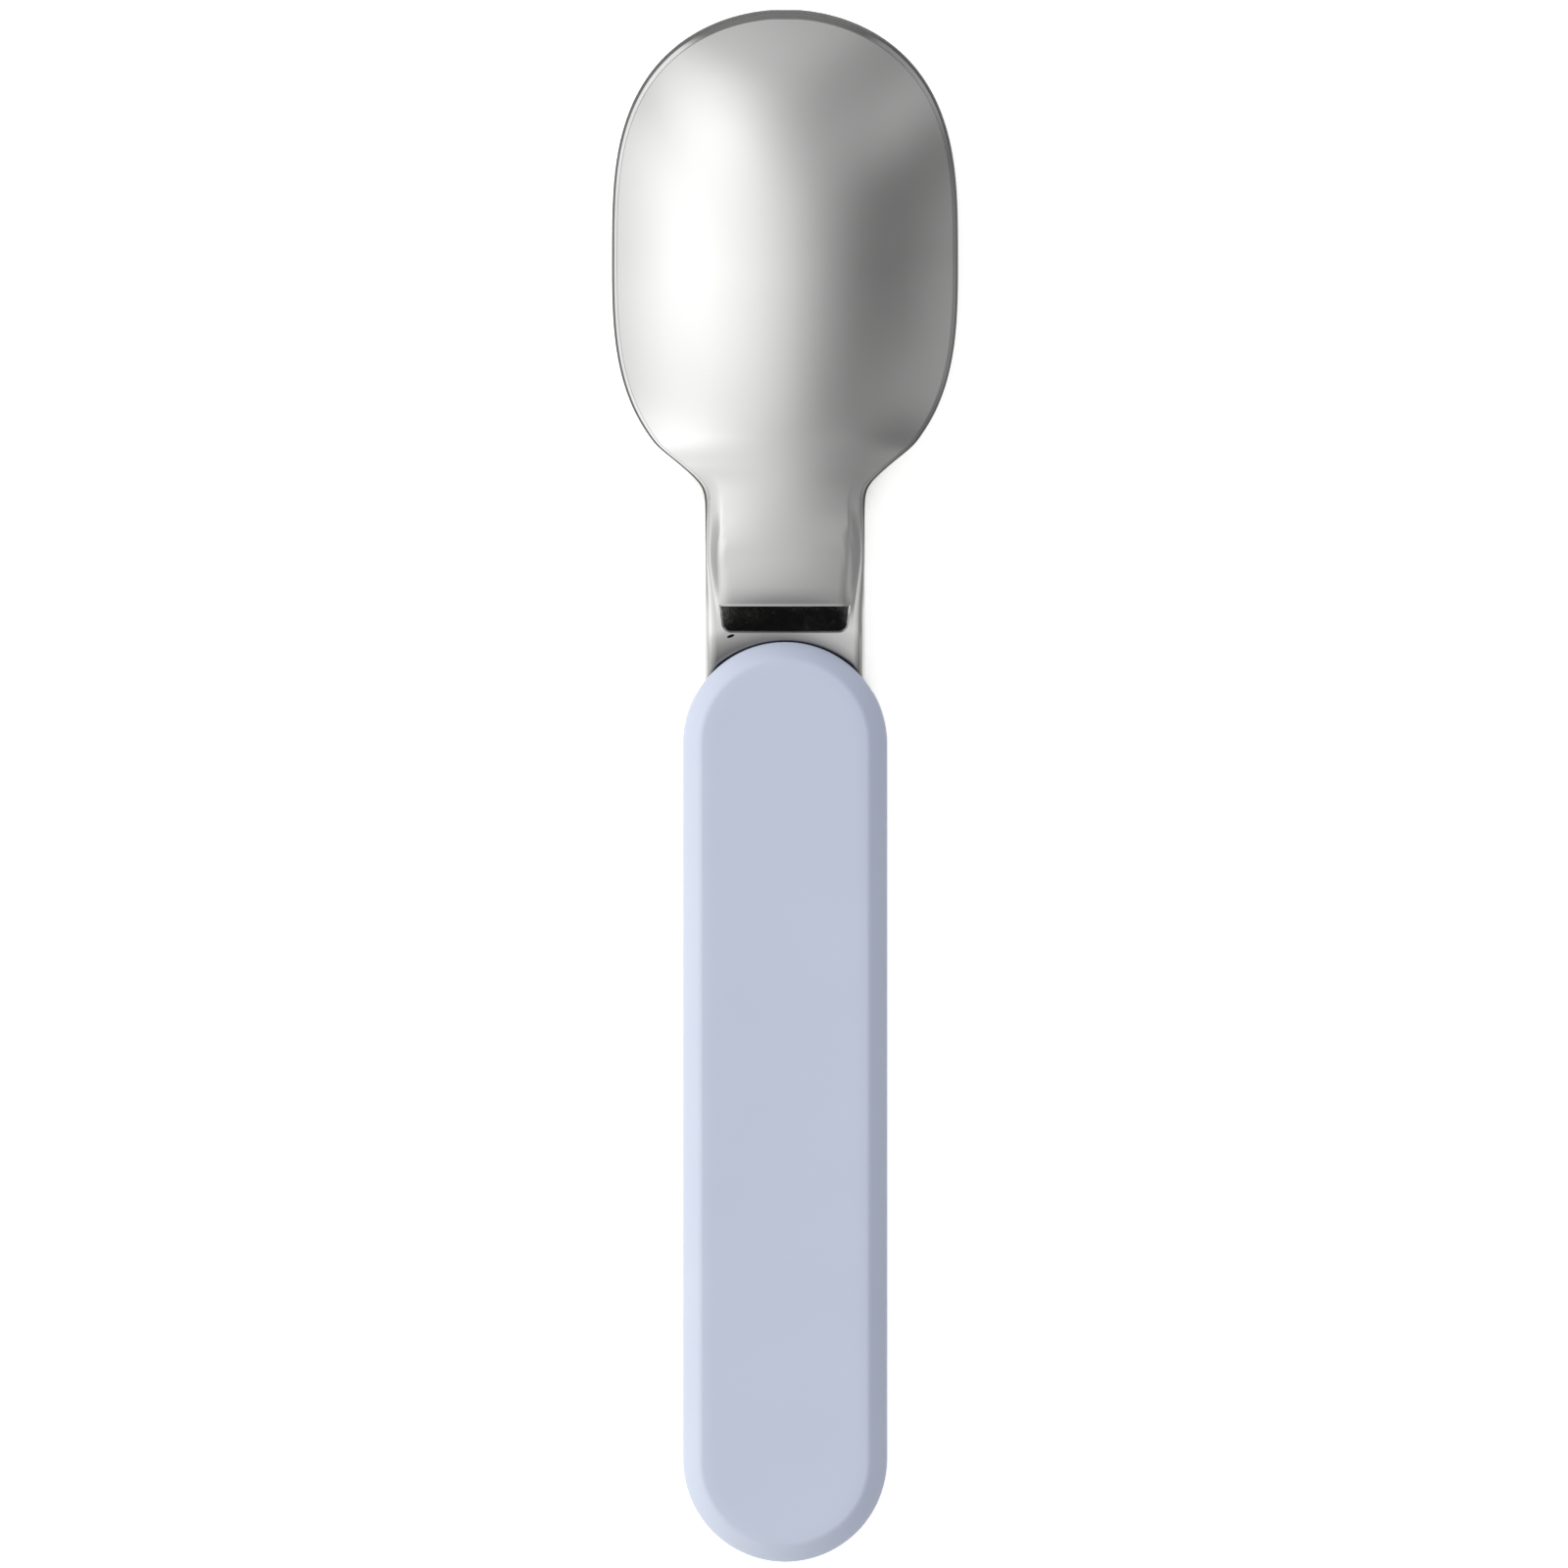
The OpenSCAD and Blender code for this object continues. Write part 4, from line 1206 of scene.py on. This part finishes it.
def pale_floor():
    mesh = bpy.data.meshes.new("pale_floor")
    half = FLOOR_HALF
    corners = [(-half, -half, 0), (half, -half, 0), (half, half, 0), (-half, half, 0)]
    mesh.from_pydata(corners, [], [(0, 1, 2, 3)])
    floor = new_piece("pale_floor", mesh)
    floor.location.z = -FLOOR_DROP
    material = bpy.data.materials.new("pale_floor")
    material.use_nodes = True
    tree = material.node_tree
    shader = tree.nodes["Principled BSDF"]
    shader.inputs["Roughness"].default_value = 0.9
    shader.inputs["Specular IOR Level"].default_value = 0.1
    shader.inputs["Emission Color"].default_value = (1, 1, 1, 1)
    path = add_node(tree, "ShaderNodeLightPath")
    direct = add_node(tree, "ShaderNodeMath", operation="ADD", use_clamp=True)
    seen = add_node(tree, "ShaderNodeMath", operation="ADD", use_clamp=True)
    join(tree, path.outputs["Is Camera Ray"], direct.inputs[0])
    join(tree, path.outputs["Is Glossy Ray"], direct.inputs[1])
    join(tree, direct.outputs["Value"], seen.inputs[0])
    join(tree, path.outputs["Is Transmission Ray"], seen.inputs[1])
    # Painted shade: the floor's colour and glow go nearly black where ambient occlusion is low, as under
    # the neck's slot.
    hollow = add_node(tree, "ShaderNodeAmbientOcclusion", samples=16)
    hollow.inputs["Distance"].default_value = HOLLOW_SHADE_REACH
    open_share = remap(tree, hollow.outputs["AO"], *HOLLOW_SHADE_OPEN, 0, 1, "SMOOTHSTEP")
    tone = two_tones(tree, open_share, (HOLLOW_SHADE_COLOUR, FLOOR_COLOUR))
    join(tree, tone, shader.inputs["Base Color"])
    glow = remap(tree, open_share, 0, 1, 0, FLOOR_GLOW)
    lit = add_node(tree, "ShaderNodeMath", operation="MULTIPLY")
    join(tree, seen.outputs["Value"], lit.inputs[0])
    join(tree, glow, lit.inputs[1])
    join(tree, lit.outputs["Value"], shader.inputs["Emission Strength"])
    mesh.materials.append(material)


# Camera straight above, far enough for a nearly parallel view
PIXELS = 1600
PIXELS_PER_MM = 9.33
CAMERA_HEIGHT = 1500.0
FOCUS_Z = 6.0
FRAME_CENTRE = (-0.11, 0.03)
SENSOR = 36.0
CLIP_SPAN = (0.01, 10)


def overhead_camera():
    data = bpy.data.cameras.new("overhead_camera")
    data.sensor_width = SENSOR
    data.lens = SENSOR * (CAMERA_HEIGHT - FOCUS_Z) * PIXELS_PER_MM / PIXELS
    data.clip_start, data.clip_end = CLIP_SPAN
    camera = bpy.data.objects.new("overhead_camera", data)
    camera.location = (FRAME_CENTRE[0] * MM, FRAME_CENTRE[1] * MM, CAMERA_HEIGHT * MM)
    bpy.context.scene.collection.objects.link(camera)
    bpy.context.scene.camera = camera


overhead_camera()
spoon_head()
front_shell()
back_shell()
finish_nodes()
studio_light()
side_lamp()
pale_floor()
bpy.context.scene.view_settings.view_transform = "Standard"
